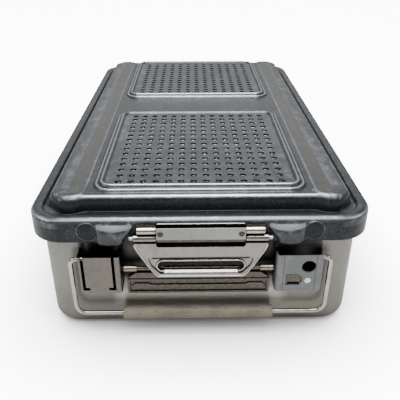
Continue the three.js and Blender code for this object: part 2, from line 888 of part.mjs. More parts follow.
// Brackets: an open-topped box on a back plate, card holder on the left and seal holder on the right
function bracketBody(x0, x1) {
  const back = wallY - seat;
  const thick = bracketSheet;
  let body = roundFront(x0, x1, bracketFace, back, bracketRound, bracketBottom, bracketTop);
  const half = (x1 - x0) / 2;
  const plateTop = bracketTop + backRise;
  const corner = bend(half - backRound, plateTop - backRound, backRound, Math.PI / 2, 0);
  const plate = upright(mirrored([...corner, [half, bracketBottom]]), back, thick);
  const pocket = roundFront(x0 + thick, x1 - thick, bracketFace + thick, back - thick,
    bracketRound - thick, bracketBottom + thick, bracketTop + overrun);
  body = body.add(plate.translate([x0 + half, 0, 0])).subtract(pocket);
  const [innerFace, outerFace] = x1 < 0 ? [x1 - thick, x0] : [x0, x1 - thick];
  const rodHole = bar(innerFace - overrun, innerFace + thick + overrun, rodY, rodZ,
    rodRadius + seat, 10);
  const pivotHole = bar(outerFace - overrun, outerFace + thick + overrun, pivotY, pivotZ,
    wireRadius + pivotPlay, 10);
  return body.subtract(rodHole).subtract(pivotHole);
}

function cardBracket(name) {
  let body = bracketBody(-bracketOuter, cardInner);
  const low = bracketBottom + tongueRoot;
  const back = bracketFace + bracketSheet + overrun;
  const front = bracketFace - overrun;
  const left = -bracketOuter + tongueOuterInset;
  const right = cardInner - tongueInnerInset - tongueGap;
  [left, right].forEach((x) => {
    body = body.subtract(block(x, x + tongueGap, front, back, low, bracketTop + overrun));
    const notch = x === left ? x : x + tongueGap - notchWidth;
    body = body.subtract(block(notch, notch + notchWidth, front, back, low, low + notchHeight));
  });
  return piece(name, body, polishedSteel);
}

function sealBracket(name) {
  let body = bracketBody(sealInner, bracketOuter);
  const front = bracketFace - overrun;
  const back = bracketFace + bracketSheet + overrun;
  const holeX = bracketOuter - sealHoleInset;
  body = body.subtract(studY(holeX, front, back, bracketTop - sealHoleDrop, sealHoleRadius, 16));
  const x0 = sealInner + windowSideGap;
  const x1 = x0 + windowWidth;
  const z0 = bracketBottom + windowLift;
  const z1 = z0 + windowHeight;
  const shoulder = x1 - windowHeight / 3;
  const house = [[x0, z0], [shoulder, z0], [x1, (z0 + z1) / 2], [shoulder, z1], [x0, z1]];
  body = body.subtract(upright(house, bracketFace + windowRecess, windowRecess + overrun));
  const slotX = x0 + windowSideGap / 2;
  body = body.subtract(block(slotX, slotX + tagSlotWidth, front, back, z0, z0 + tagSlotHeight));
  return piece(name, body, matteGrey);
}

function indicatorDot(name) {
  const x = bracketOuter - sealHoleInset;
  const back = bracketFace - seat;
  const dot = studY(x, back - dotThick, back, bracketBottom + dotLift, dotRadius, 12);
  return piece(name, dot, whiteEnamel);
}

function keeperRod(name) {
  const tail = bracketSheet + rodTail;
  return piece(name, bar(cardInner - tail, sealInner + tail, rodY, rodZ, rodRadius, 8), polishedSteel);
}

function keeperBush(name, side) {
  const x0 = side < 0 ? cardInner + bushGap : sealInner - bushGap - bushLength;
  const body = bar(x0, x0 + bushLength, rodY, rodZ, bushRadius, 12);
  const bore = bar(x0 - overrun, x0 + bushLength + overrun, rodY, rodZ, rodRadius + seat, 10);
  return piece(name, body.subtract(bore), satinSteel);
}

// Latch plate: two ribbed tiers pressed into a plate under the keeper rod
function latchPlate(name) {
  const half = (sealInner - cardInner) / 2 - latchPlateSideGap;
  const top = rodZ - rodRadius - latchPlateGap;
  const bottom = top - latchPlateHeight;
  const back = wallY - seat;
  const tierLow = top - upperTierHeight;
  const slant = half - tierSlant;
  const outline = mirrored([[slant, top], [half, tierLow], [half, bottom]]);
  let plate = upright(outline, back, latchPlateThick);
  const face = back - latchPlateThick / 2;
  const raise = ribRaise + latchPlateThick / 2;
  const upper = mirrored([[slant, top], [half - ribBar, tierLow + ribBar], [half - ribBar, tierLow]]);
  plate = plate.add(upright(upper, face, raise));
  const frameTop = tierLow - ribBar / 2;
  const frame = upright(mirrored([[half, frameTop], [half, bottom]]), face, raise);
  const inside = mirrored([[half - ribBar, frameTop - ribBar], [half - ribBar, bottom + ribBar]]);
  plate = plate.add(frame.subtract(upright(inside, back, raise + overrun + latchPlateThick)));
  const middle = (frameTop + bottom) / 2;
  const thin = longRibHeight / 2;
  const thick = thin + longRibSwell;
  const end = half - ribBar - longRibSwell;
  const inner = end - longRibEnd;
  const rib = mirrored([
    [inner - thick, middle + thin],
    [inner, middle + thick],
    [end - thick, middle + thick],
    [end, middle],
    [end - thick, middle - thick],
    [inner, middle - thick],
    [inner - thick, middle - thin],
  ]);
  plate = plate.add(upright(rib, face, raise));
  return piece(name, plate.translate([(sealInner + cardInner) / 2, 0, 0]), satinSteel);
}

function bailPath() {
  const start = bracketOuter - bracketSheet - pivotTail;
  const low = bailHeight;
  return [
    [start, pivotZ],
    ...bend(legX - pivotBend, pivotZ - pivotBend, pivotBend, Math.PI / 2, 0),
    ...bend(legX - bottomBend, low + bottomBend, bottomBend, 0, -Math.PI / 2),
  ];
}

function bailHandle(name) {
  const wire = planarWire(mirrored(bailPath()), pivotY, wireRadius, 8);
  return piece(name, wire, polishedSteel);
}

function gripSleeve(name) {
  const x0 = -gripLength / 2 - gripSlide;
  const x1 = x0 + gripLength;
  const body = bar(x0, x1, pivotY, bailHeight, gripRadius, 14);
  const bore = bar(x0 - overrun, x1 + overrun, pivotY, bailHeight, wireRadius + gripPlay, 8);
  return piece(name, body.subtract(bore), silicone);
}

// Everything at one short end, built at the front
function endHardware(place) {
  const group = new THREE.Group();
  group.add(
    hingeBlock(`hinge_block_${place}`),
    namePlate(`name_plate_${place}`),
    rivet(`rivet_left_${place}`, -1),
    rivet(`rivet_right_${place}`, 1),
    hingePin(`hinge_pin_${place}`),
    latchLever(`latch_lever_${place}`),
    cardBracket(`card_bracket_${place}`),
    sealBracket(`seal_bracket_${place}`),
    indicatorDot(`indicator_dot_${place}`),
    keeperRod(`keeper_rod_${place}`),
    keeperBush(`keeper_bush_left_${place}`, -1),
    keeperBush(`keeper_bush_right_${place}`, 1),
    latchPlate(`latch_plate_${place}`),
    bailHandle(`bail_${place}`),
    gripSleeve(`grip_${place}`),
  );
  return group;
}

function ventFittings(place, vent) {
  const group = new THREE.Group();
  group.add(
    filterSheet(`filter_${place}`, vent),
    retentionPlate(`retention_plate_${place}`, vent),
    plateClip(`plate_clip_${place}`, vent),
    buttonPost(`button_post_${place}`, vent),
    turnButton(`turn_button_${place}`, vent),
  );
  return group;
}

const container = new THREE.Group();
const rearEnd = endHardware("rear");
rearEnd.rotation.z = Math.PI;
container.add(baseShell(), lidShell(), lidGasket());
container.add(ventFittings("front", frontVent), ventFittings("rear", rearVent));
container.add(endHardware("front"), rearEnd);

export default container;
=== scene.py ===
"""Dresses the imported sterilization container: lid, tub and end hardware, with their finishes."""
import math
import bmesh
import bpy
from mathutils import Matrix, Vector
from mathutils.geometry import delaunay_2d_cdt


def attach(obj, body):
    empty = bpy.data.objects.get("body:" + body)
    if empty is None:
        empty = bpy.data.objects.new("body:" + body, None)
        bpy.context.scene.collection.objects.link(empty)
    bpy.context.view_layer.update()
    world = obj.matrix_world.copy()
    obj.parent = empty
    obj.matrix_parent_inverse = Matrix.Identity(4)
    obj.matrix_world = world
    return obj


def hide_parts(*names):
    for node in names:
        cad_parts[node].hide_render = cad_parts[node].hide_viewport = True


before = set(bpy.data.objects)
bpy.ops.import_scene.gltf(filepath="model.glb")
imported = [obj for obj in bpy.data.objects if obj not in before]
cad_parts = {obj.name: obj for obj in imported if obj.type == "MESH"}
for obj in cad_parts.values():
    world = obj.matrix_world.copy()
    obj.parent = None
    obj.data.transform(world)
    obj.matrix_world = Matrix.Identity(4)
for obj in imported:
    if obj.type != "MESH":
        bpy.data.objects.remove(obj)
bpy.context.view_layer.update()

MM = 0.001

# Lid, in millimetres
LID_HALF_X, LID_HALF_Y, LID_CORNER = 145.0, 250.0, 30.0
SKIRT_BOTTOM, SKIRT_HEIGHT, SKIRT_ROWS = 96.7, 17.4, 17
CREST_TOP, RIM_ROUND = 118.6, 4.5
CHANNEL_TOP = 115.4
WALL_BASE = CHANNEL_TOP + 0.9
CENTRE_TOP, TOP_INSET, PANEL_TOP, SHEET = 128.5, 26.0, 131.5, 1.5
RAIL_RISE, RAIL_START, RAIL_WIDTH, RAIL_EDGE, STRIP_EDGE = 1.3, 97.7, 2.0, 98.7, 112.8
LOBE_START, LOBE_WIDTH, LOBE_PLACE = 95.5, 7.5, 106.0
VENT_HALF_X, VENT_CORNER, PANEL_INSET = 92.0, 16.0, 10.3
# Each vent: its ends, then columns, their pitch, rows, their pitch and the middle of the rows
VENTS = ((-222.2, -22.5, 14, 11.0, 15, 12.0, -123.5), (37.5, 221.4, 13, 12.0, 14, 11.0, 127.0))
HOLE_RADIUS, HOLE_EDGE, HOLE_DEPTH, HOLE_SIDES = 2.8, 0.4, 1.85, 16
SHOULDER_INNER, SHOULDER_OUTER, SHOULDER_REACH = 55.0, 87.0, 4.9
SHOULDER_TOP, SHOULDER_ROUND = 114.8, 9.5
PAD_PLACE, PAD_Z, PAD_RADIUS, PAD_SINK = 93.5, 107.0, 8.8, 0.3

# Tub
TUB_HALF_X, TUB_HALF_Y, TUB_CORNER = 136.3, 242.8, 22.8
TUB_TOP, FOOT_ROUND, TUB_SHEET, TUB_LIP = 113.5, 14.0, 1.6, 3.2

# Latch hinge on the skirt, front end
SKIRT_Y, SEAT = -250.0, 0.3
BLOCK_HALF, BLOCK_TOP, BLOCK_BOTTOM, BLOCK_FACE = 36.2, 114.2, 99.5, -256.3
WING, ROLL_RADIUS = 16.2, 3.0
PLATE_TOP, PLATE_LOW, PLATE_THICK = 114.0, 103.0, 0.6
RIVET_X, RIVET_Z, RIVET_HOLE = 33.0, 108.5, 1.8
PIN_Y, PIN_Z, PIN_RADIUS, PIN_HALF = -253.3, 102.3, 1.6, 59.1

# Latch lever, front end
LEVER_FACE, LEVER_BACK, LEVER_HALF, BARREL_RADIUS = -256.3, -254.5, 55.6, 3.0
LEVER_LOW = PIN_Z - 37.3
SLOT_LOW, SLOT_HALF, SLOT_RADIUS = LEVER_LOW + 6.6, 31.7, 4.65

# End wall hardware, front end
WALL_Y = -242.8
BRACKET_FACE, BRACKET_TOP, BRACKET_LOW, BRACKET_THICK = -256.8, 85.8, 49.4, 1.5
BRACKET_OUTER, CARD_INNER, SEAL_INNER = 103.5, -67.5, 63.5
DOT_X = BRACKET_OUTER - 12.5
ROD_Y, ROD_Z, ROD_RADIUS = -249.8, 69.9, 2.0
PIVOT_Y, PIVOT_Z, WIRE_RADIUS, LEG_X = -251.8, 81.3, 2.0, 110.1
GRIP_Z, GRIP_RADIUS, GRIP_LEFT, GRIP_RIGHT = 23.0, 5.7, -68.75, 63.75

SMOOTH_ANGLE, BEVEL_ANGLE = 40, 32
SIDES = (-1, 1)


# Meshes
def as_mesh(name, points, faces):
    mesh = bpy.data.meshes.new(name)
    mesh.from_pydata([(x * MM, y * MM, z * MM) for x, y, z in points], [], faces)
    mesh.validate()
    return mesh


def shade(mesh, degrees=SMOOTH_ANGLE):
    mesh.polygons.foreach_set("use_smooth", [True] * len(mesh.polygons))
    mesh.set_sharp_from_angle(angle=math.radians(degrees))
    return mesh


def mark(mesh, label, values):
    """Stores a value for each point, which a finish reads by its label."""
    mesh.attributes.new(label, "FLOAT", "POINT").data.foreach_set("value", values)
    return mesh


def placed(name, data):
    """An object in the scene that shows a mesh, a light or a camera."""
    made = bpy.data.objects.new(name, data)
    bpy.context.scene.collection.objects.link(made)
    return made


def finished(mesh, *modifiers):
    """The mesh with modifiers, given as (kind, settings), turned into plain faces."""
    carrier = placed("carrier", mesh)
    for kind, settings in modifiers:
        modifier = carrier.modifiers.new(kind, kind)
        for key, value in settings.items():
            setattr(modifier, key, value)
    graph = bpy.context.evaluated_depsgraph_get()
    made = bpy.data.meshes.new_from_object(carrier.evaluated_get(graph))
    bpy.data.objects.remove(carrier)
    return made


def merged(parts):
    points, faces = [], []
    for part_points, part_faces in parts:
        start = len(points)
        points.extend(part_points)
        faces.extend([[start + i for i in face] for face in part_faces])
    return points, faces


def joined(name, meshes, shift=0.0):
    """One mesh of several, moved along X."""
    form = bmesh.new()
    for mesh in meshes:
        form.from_mesh(mesh)
    bmesh.ops.translate(form, verts=form.verts, vec=(shift * MM, 0, 0))
    whole = bpy.data.meshes.new(name)
    form.to_mesh(whole)
    form.free()
    return whole


def bevelled(mesh, width, segments, angle):
    return finished(mesh, ("BEVEL", {
        "width": width * MM, "segments": segments, "limit_method": "ANGLE",
        "angle_limit": math.radians(angle), "use_clamp_overlap": True}))


def evened(mesh, degrees=SMOOTH_ANGLE):
    """Smooth faces whose shading follows the larger faces."""
    return finished(shade(mesh, degrees), ("WEIGHTED_NORMAL", {"keep_sharp": True}))


def carved(name, solids, cutters=(), bevel=0.3, segments=2):
    """Joins closed solids, cuts others away and rounds the edges that are left."""
    mesh = as_mesh(name, *merged(solids))
    if cutters:
        tool = placed("cutter", as_mesh("cutter", *merged(cutters)))
        mesh = finished(mesh, ("BOOLEAN", {
            "operation": "DIFFERENCE", "solver": "EXACT", "use_self": True, "object": tool}))
        bpy.data.objects.remove(tool)
    if bevel:
        mesh = bevelled(mesh, bevel, segments, BEVEL_ANGLE)
    return evened(mesh)


# Solids and outlines
def swept(count, rows):
    """Quads between rows of points that follow the same closed path."""
    faces = []
    for low in range(0, (len(rows) - 1) * count, count):
        for i in range(count):
            n = (i + 1) % count
            faces.append([low + i, low + n, low + count + n, low + count + i])
    return [point for row in rows for point in row], faces


def capped(count, rows):
    """A solid between rows of points, with its first and last row filled."""
    points, faces = swept(count, rows)
    return points, [list(range(count))[::-1], list(range(len(points) - count, len(points)))] + faces


def flipped(points, faces):
    return points, [face[::-1] for face in faces]


def prism(outline, y0, y1):
    """A solid whose outline stands in the XZ plane."""
    count = len(outline)
    area = sum(outline[i - 1][0] * outline[i][1] - outline[i][0] * outline[i - 1][1] for i in range(count))
    ring = outline if area > 0 else outline[::-1]
    return flipped(*capped(count, [[(x, y, z) for x, z in ring] for y in (y0, y1)]))


def column(outline, z0, z1):
    """A solid whose outline lies in the XY plane."""
    points, faces = flipped(*prism(outline, z0, z1))
    return [(x, z, y) for x, y, z in points], faces


def bar(outline, x0, x1):
    """A solid whose outline stands in the YZ plane."""
    points, faces = flipped(*prism(outline, x0, x1))
    return [(x, y, z) for y, x, z in points], faces


def brick(x0, x1, y0, y1, z0, z1):
    return prism([(x0, z0), (x1, z0), (x1, z1), (x0, z1)], y0, y1)


def disc(x, z, radius, y0, y1, sides=32):
    turns = [2 * math.pi * (i + 0.5) / sides for i in range(sides)]
    return prism([(x + radius * math.cos(a), z + radius * math.sin(a)) for a in turns], y0, y1)


def turned(profile, sides=32):
    """A solid turned about X through (x, radius) points, centred on y = z = 0."""
    turns = [2 * math.pi * k / sides for k in range(sides)]
    rows = [[(x, radius * math.cos(a), radius * math.sin(a)) for a in turns] for x, radius in profile]
    return flipped(*capped(sides, rows))


def rod_along_x(x0, x1, y, z, radius, chamfer=0.4, sides=32):
    points, faces = turned([(x0, radius - chamfer), (x0 + chamfer, radius), (x1 - chamfer, radius),
                            (x1, radius - chamfer)], sides)
    return [(px, py + y, pz + z) for px, py, pz in points], faces


def rod_pair(inner, outer, *settings):
    """Two rods along X, equally far from the middle."""
    return [rod_along_x(*sorted((side * inner, side * outer)), *settings) for side in SIDES]


def facing_front(profile, x, y, z, sides):
    """A solid turned about Y, whose profile runs forward from a place on the end wall."""
    points, faces = turned(profile, sides)
    return [(py + x, y - px, pz + z) for px, py, pz in points], faces


def arc(cx, cz, radius, start, end, steps):
    angles = [math.radians(start + (end - start) * i / steps) for i in range(steps + 1)]
    return [(cx + radius * math.cos(a), cz + radius * math.sin(a)) for a in angles]


def rounded(outline, radius, steps=5):
    """The outline with each corner rounded; a radius may be given for each corner."""
    most = 0.49  # share of an edge that one corner may take
    path = []
    for i, corner in enumerate(outline):
        size = radius[i] if isinstance(radius, list) else radius
        if size <= 0:
            path.append(corner)
            continue
        here = Vector(corner)
        before = Vector(outline[i - 1]) - here
        after = Vector(outline[(i + 1) % len(outline)]) - here
        reach = min(size / math.tan(before.angle(after) / 2), before.length * most, after.length * most)
        a = here + before.normalized() * reach
        b = here + after.normalized() * reach
        for t in [k / steps for k in range(steps + 1)]:
            path.append(tuple((1 - t) ** 2 * a + 2 * t * (1 - t) * here + t ** 2 * b))
    return path


def mirror(outline):
    return outline + [(-x, z) for x, z in reversed(outline)]


def paired(side, radius, steps=5):
    """A rounded outline, given by its right side."""
    return rounded(mirror(side), radius, steps)


def slot_outline(half, middle, radius, steps):
    """A long slot with round ends."""
    return arc(half, middle, radius, -90, 90, steps) + arc(-half, middle, radius, 90, 270, steps)


def smooth_step(value):
    t = min(max(value, 0.0), 1.0)
    return t * t * (3 - 2 * t)


def rounded_frame(half_x, half_y, corner, xs, ys, steps):
    """Points and outward normals round a rectangle, anticlockwise from the front left."""
    edge_x, edge_y = half_x - corner, half_y - corner
    path = []
    xs = sorted(x for x in xs if abs(x) < edge_x - 0.01)
    ys = sorted(y for y in ys if abs(y) < edge_y - 0.01)

    def turn(cx, cy, start):
        for k in range(steps + 1):
            a = math.radians(start + 90 * k / steps)
            path.append((cx + corner * math.cos(a), cy + corner * math.sin(a), math.cos(a), math.sin(a)))

    turn(-edge_x, -edge_y, 180)
    path.extend((x, -half_y, 0, -1) for x in xs)
    turn(edge_x, -edge_y, 270)
    path.extend((half_x, y, 1, 0) for y in ys)
    turn(edge_x, edge_y, 0)
    path.extend((x, half_y, 0, 1) for x in reversed(xs))
    turn(-edge_x, edge_y, 90)
    path.extend((-half_x, y, -1, 0) for y in reversed(ys))
    return path


# Pieces and their bodies
def fit(name, mesh, material, body, slot, *nodes):
    mesh.materials.clear()
    mesh.materials.append(material)
    piece = placed(name, mesh)
    if name.endswith("_rear_made"):
        piece.rotation_euler = (0, 0, math.pi)
    bpy.context.view_layer.update()
    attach(piece, body)
    if nodes:
        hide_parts(*nodes)


def both_ends(stem, mesh, material, body, slot, replacing=True):
    """Fits one mesh at the front and, turned by half a turn, at the rear."""
    for end in ("front", "rear"):
        where = body if body in ("base", "lid") else f"{body}_{end}"
        nodes = [f"{stem}_{end}"] if replacing else []
        fit(f"{stem}_{end}_made", mesh, material, where, slot, *nodes)


# Finishes
TIMES, HIGHER = {"operation": "MULTIPLY"}, {"operation": "MAXIMUM"}


def linear(code):
    channels = [int(code[i:i + 2], 16) / 255 for i in (1, 3, 5)]
    return tuple(c / 12.92 if c <= 0.04045 else ((c + 0.055) / 1.055) ** 2.4 for c in channels) + (1,)


def per_mm(size):
    """Texture scale for a feature of this size in millimetres."""
    return 1 / (size * MM)


def add(tree, kind, settings, links=(), out=0):
    """Adds a node, sets its fields and sockets, links its inputs and gives one of its outputs."""
    node = tree.nodes.new("ShaderNode" + kind)
    for key, value in settings.items():
        if isinstance(key, str) and hasattr(node, key):
            setattr(node, key, value)
        else:
            node.inputs[key].default_value = value
    for key, source in dict(links).items():
        tree.links.new(source, node.inputs[key])
    return node.outputs[out]


def new_finish(name, settings):
    """A material, its node tree, and the place on the piece that its patterns follow."""
    material = bpy.data.materials.new(name)
    material.use_nodes = True
    tree = material.node_tree
    for key, value in settings.items():
        tree.nodes["Principled BSDF"].inputs[key].default_value = value
    return material, tree, add(tree, "TexCoord", {}, out="Object")


def dress(material, ground, coats=(), rough=None, relief=None):
    """Lays coats of colour over a cloudy ground and sets how rough the surface is.

    The ground is a mask with its colours at 0 and 1. A coat is a mask, its share and its colour.
    The relief is a height signal with its depth in millimetres and its strength.
    """
    tree = material.node_tree
    shader = tree.nodes["Principled BSDF"]
    mask, below, above = ground
    colour = add(tree, "Mix", {"data_type": "RGBA", 6: linear(below), 7: linear(above)}, {0: mask}, 2)
    for mask, share, code in coats:
        amount = add(tree, "Math", TIMES | {1: share}, {0: mask})
        colour = add(tree, "Mix", {"data_type": "RGBA", 7: linear(code)}, {0: amount, 6: colour}, 2)
    tree.links.new(colour, shader.inputs["Base Color"])
    if rough:
        tree.links.new(rough, shader.inputs["Roughness"])
    if relief:
        height, depth, strength = relief
        bump = add(tree, "Bump", {"Strength": strength, "Distance": depth * MM}, {"Height": height})
        tree.links.new(bump, shader.inputs["Normal"])
    return material


def cloud(tree, place, size, low, high, detail=3.0, stretch=(1, 1, 1)):
    """Soft patches of a size in millimetres, from 0 below low to 1 above high."""
    spread = add(tree, "Mapping", {"Scale": stretch}, {"Vector": place})
    noise = add(tree, "TexNoise", {"Scale": per_mm(size), "Detail": detail}, {"Vector": spread})
    settings = {"From Min": low, "From Max": high, "interpolation_type": "SMOOTHSTEP"}
    return add(tree, "MapRange", settings, {"Value": noise})


def scratches(tree, place, length, spacing, turn, low, high):
    """Fine lines of a length and spacing in millimetres, turned about Z."""
    aim = add(tree, "Mapping", {"Rotation": (0.1, 0.15, turn), "Scale": (1, spacing / length, 1)},
              {"Vector": place})
    noise = add(tree, "TexNoise", {"Scale": per_mm(spacing), "Detail": 1.0}, {"Vector": aim})
    return add(tree, "MapRange", {"From Min": low, "From Max": high}, {"Value": noise})


def painted_hollow_shade(tree, reach, share=1.0):
    """Painted shade in hollows narrower than a reach in millimetres, from 0 on open faces to share."""
    shut = add(tree, "AmbientOcclusion", {"samples": 6, "Distance": reach * MM}, out="AO")
    return add(tree, "MapRange", {"From Min": 0.88, "From Max": 0.42, "To Max": share,
                             "interpolation_type": "SMOOTHSTEP"}, {"Value": shut})


def painted_shade_film(tree, reach, share, marked_reach):
    """Painted shade in hollows, and on marked places while something stands in front of them."""
    marked_shade = add(tree, "Attribute", {"attribute_name": "grime_and_shade"}, out="Fac")
    shaded = add(tree, "Math", TIMES, {0: marked_shade, 1: painted_hollow_shade(tree, marked_reach, 1.6)})
    return add(tree, "Math", HIGHER, {0: painted_hollow_shade(tree, reach, share), 1: shaded})


def chips(tree, place, spots):
    """Small bright chips at given points, each with its radius, in millimetres."""
    ragged = add(tree, "TexNoise", {"Scale": per_mm(0.8), "Detail": 2.0}, {"Vector": place})
    found = None
    for x, y, z, radius in spots:
        away = add(tree, "VectorMath", {"operation": "DISTANCE", 1: (x * MM, y * MM, z * MM)},
                   {0: place}, "Value")
        edge = add(tree, "Math", {"operation": "MULTIPLY_ADD", 1: radius * MM, 2: radius * 0.5 * MM},
                   {0: ragged})
        chip = add(tree, "Math", {"operation": "LESS_THAN"}, {0: away, 1: edge})
        found = chip if found is None else add(tree, "Math", HIGHER, {0: found, 1: chip})
    return found


def hard_anodised_aluminium():
    # Hard anodised aluminium: a dark oxide, rubbed to pale metal on crests and creases, with a few chips;
    # painted highlights and painted shade
    material, tree, place = new_finish("hard_anodised_aluminium", {"Metallic": 0.75})
    wear_and_highlight, grime_and_shade, warm = (add(tree, "Attribute", {"attribute_name": label}, out="Fac")
                         for label in ("wear_and_highlight", "grime_and_shade", "warm"))
    mottle = cloud(tree, place, 3.0, 0.35, 0.75, 5.0)
    rubbed_and_lit = wear_and_highlight
    for patch in (cloud(tree, place, 9, 0.4, 0.62, 3.0), cloud(tree, place, 1.1, 0.42, 0.6, 5.0)):
        rubbed_and_lit = add(tree, "Math", TIMES, {0: rubbed_and_lit, 1: patch})
    scuffs_and_highlights = add(tree, "Math", HIGHER, {0: rubbed_and_lit, 1: add(
        tree, "MapRange", {"From Min": 0.5, "From Max": 1.0, "To Max": 0.85}, {"Value": wear_and_highlight})})
    for share, trace in ((0.25, wear_and_highlight), (0.3, cloud(tree, place, 0.7, 0.66, 0.72, 2.0)),
                         (0.3, scratches(tree, place, 40, 0.5, 0.25, 0.72, 0.77)),
                         (0.3, scratches(tree, place, 26, 0.45, 1.4, 0.73, 0.78)),
                         (1.0, chips(tree, place, ((-83.5, -233.0, 123.6, 1.0), (93.0, -231.2, 124.6, 0.8),
                                                   (96.4, -220.0, 128.8, 0.8))))):
        faint = add(tree, "Math", TIMES | {1: share}, {0: trace})
        scuffs_and_highlights = add(tree, "Math", HIGHER, {0: scuffs_and_highlights, 1: faint})
    dull = add(tree, "Math", HIGHER, {0: mottle, 1: grime_and_shade})
    # The pale coat is wear with painted highlights on crests; the marked dark coat and the hollow coat are
    # painted shade
    return dress(
        material, (cloud(tree, place, 60, 0.35, 0.68), "#282b2d", "#313436"),
        ((warm, 1.0, "#3f3e3b"), (mottle, 0.22, "#595e61"), (grime_and_shade, 1.0, "#0c0d0f"),
         (scuffs_and_highlights, 0.9, "#b9bfc4"), (painted_hollow_shade(tree, 5, 0.7), 1.0, "#08090a")),
        add(tree, "MapRange", {"To Min": 0.28, "To Max": 0.4}, {"Value": dull}),
        (cloud(tree, place, 0.7, 0.3, 0.7, 2.0), 0.02, 0.5))


def satin_aluminium(name, dark, light, hollow_shade_share):
    # Natural anodised aluminium: warm silver with a soft, cloudy sheen, a drawn grain and painted shade in
    # hollows
    material, tree, place = new_finish(name, {"Metallic": 0.9})
    grain = cloud(tree, place, 0.7, 0.3, 0.7, 2.0, (1, 1, 0.2))
    marks = add(tree, "Math", HIGHER, {0: scratches(tree, place, 24, 0.6, 0.2, 0.71, 0.77),
                                     1: cloud(tree, place, 1.2, 0.7, 0.76)})
    residue_and_painted_light = add(tree, "Attribute", {"attribute_name": "residue_and_painted_light"}, out="Fac")
    return dress(
        material, (cloud(tree, place, 50, 0.3, 0.7), dark, light),
        # A pale film above the grip, partly residue and partly painted light; a dark coat of painted shade in
        # hollows and behind parts
        ((grain, 0.2, "#6f6d67"), (marks, 0.4, "#c9c8c4"), (residue_and_painted_light, 1.0, "#bab6aa"),
         (painted_shade_film(tree, 14, hollow_shade_share, 75), 0.96, "#0b0b0a")),
        add(tree, "MapRange", {"To Min": 0.32, "To Max": 0.46}, {"Value": grain}), (grain, 0.015, 0.3))


def stainless_steel(name, dark, light, rough_low, rough_high, reach, hollow_shade_share):
    # Stainless steel: brushed or polished, with fine scratches and painted shade in hollows up to a reach in
    # mm
    material, tree, place = new_finish(name, {"Metallic": 1.0})
    brush = cloud(tree, place, 0.6, 0.2, 0.8, 2.0, (0.15, 1, 1))
    stain = cloud(tree, place, 9, 0.45, 0.75, 4.0)
    marks = add(tree, "Math", HIGHER, {0: scratches(tree, place, 16, 0.5, 0.5, 0.7, 0.76),
                                     1: scratches(tree, place, 12, 0.5, 2.2, 0.71, 0.77)})
    # Painted shade: dark film in hollows and on marked places behind other parts, which also roughens the
    # surface
    painted_shade = painted_shade_film(tree, reach, hollow_shade_share, 50)
    dull = add(tree, "Math", HIGHER, {0: brush, 1: stain})
    rough = add(tree, "MapRange", {"To Min": rough_low, "To Max": rough_high}, {"Value": dull})
    shade_roughness = add(tree, "Math", TIMES | {1: 0.5}, {0: painted_shade})
    return dress(
        material, (brush, dark, light),
        ((stain, 0.3, "#57504a"), (marks, 0.5, "#d8d6d0"), (painted_shade, 1.0, "#0a0908")),
        add(tree, "Math", HIGHER, {0: rough, 1: shade_roughness}), (brush, 0.006, 0.2))


def blasted_steel():
    # Bead-blasted steel: light matte grey with a fine even grit and painted shade in hollows
    material, tree, place = new_finish("blasted_steel", {"Metallic": 0.6})
    grit = cloud(tree, place, 0.6, 0.3, 0.7, 2.0)
    return dress(
        material, (cloud(tree, place, 12, 0.35, 0.7, 4.0), "#6f7170", "#7e8080"),
        ((grit, 0.3, "#64676a"), (painted_shade_film(tree, 10, 0.85, 50), 1.0, "#131312")),
        add(tree, "MapRange", {"To Min": 0.4, "To Max": 0.55}, {"Value": grit}), (grit, 0.02, 0.4))


def moulded_silicone():
    # Moulded silicone: matte grey beige, rubbed dark where the hand holds it
    material, tree, place = new_finish("moulded_silicone", {})
    patches = cloud(tree, place, 18, 0.38, 0.66, 5.0)
    return dress(
        material, (patches, "#656052", "#767060"),
        ((cloud(tree, place, 3.5, 0.56, 0.68, 6.0, (0.5, 1, 1)), 0.7, "#5c574b"),),
        add(tree, "MapRange", {"To Min": 0.5, "To Max": 0.68}, {"Value": patches}),
        (cloud(tree, place, 1.0, 0.3, 0.7, 3.0), 0.04, 0.4))


def gasket_silicone():
    # Silicone rubber: pale, matte, with a faint moulded grain
    material, tree, place = new_finish("gasket_silicone", {"Roughness": 0.7})
    grain = cloud(tree, place, 1.5, 0.3, 0.7)
    return dress(material, (grain, "#85857f", "#95958f"), relief=(grain, 0.03, 0.4))


def filter_fleece():
    # Filter fleece: white fibres laid at random
    material, tree, place = new_finish("filter_fleece", {"Roughness": 0.9})
    fibres = cloud(tree, place, 0.9, 0.3, 0.7, 6.0, (1, 0.4, 1))
    return dress(material, (fibres, "#dcdcd6", "#f4f4f0"), relief=(fibres, 0.1, 0.6))


def white_enamel():
    # Stove enamel: a small white spot with a soft gloss
    material, tree, place = new_finish("white_enamel", {"Roughness": 0.35})
    return dress(material, (cloud(tree, place, 1.5, 0.4, 0.7, 4.0), "#eceeef", "#cfd4d6"))


anodised = hard_anodised_aluminium()
aluminium = satin_aluminium("satin_anodised_aluminium", "#797770", "#88867f", 0.12)
plate_silver = satin_aluminium("engraver_plate_aluminium", "#8f9089", "#a3a49d", 0.3)
satin_steel = stainless_steel("brushed_stainless_steel", "#817e79", "#9b9893", 0.2, 0.34, 6, 0.9)
bright_steel = stainless_steel("polished_stainless_steel", "#aea89d", "#c8c2b6", 0.12, 0.24, 3, 0.55)
lever_steel = stainless_steel("polished_pressed_steel", "#86837d", "#9b9892", 0.16, 0.26, 5, 0.95)
collar_steel = stainless_steel("rolled_collar_steel", "#a6a29b", "#bebab3", 0.12, 0.24, 2, 0.5)
# Painted shade: a darker copy of polished steel for the card bracket
bracket_steel_shaded = stainless_steel("polished_bracket_steel_shaded", "#625e57", "#736f67", 0.16, 0.28, 14, 0.97)
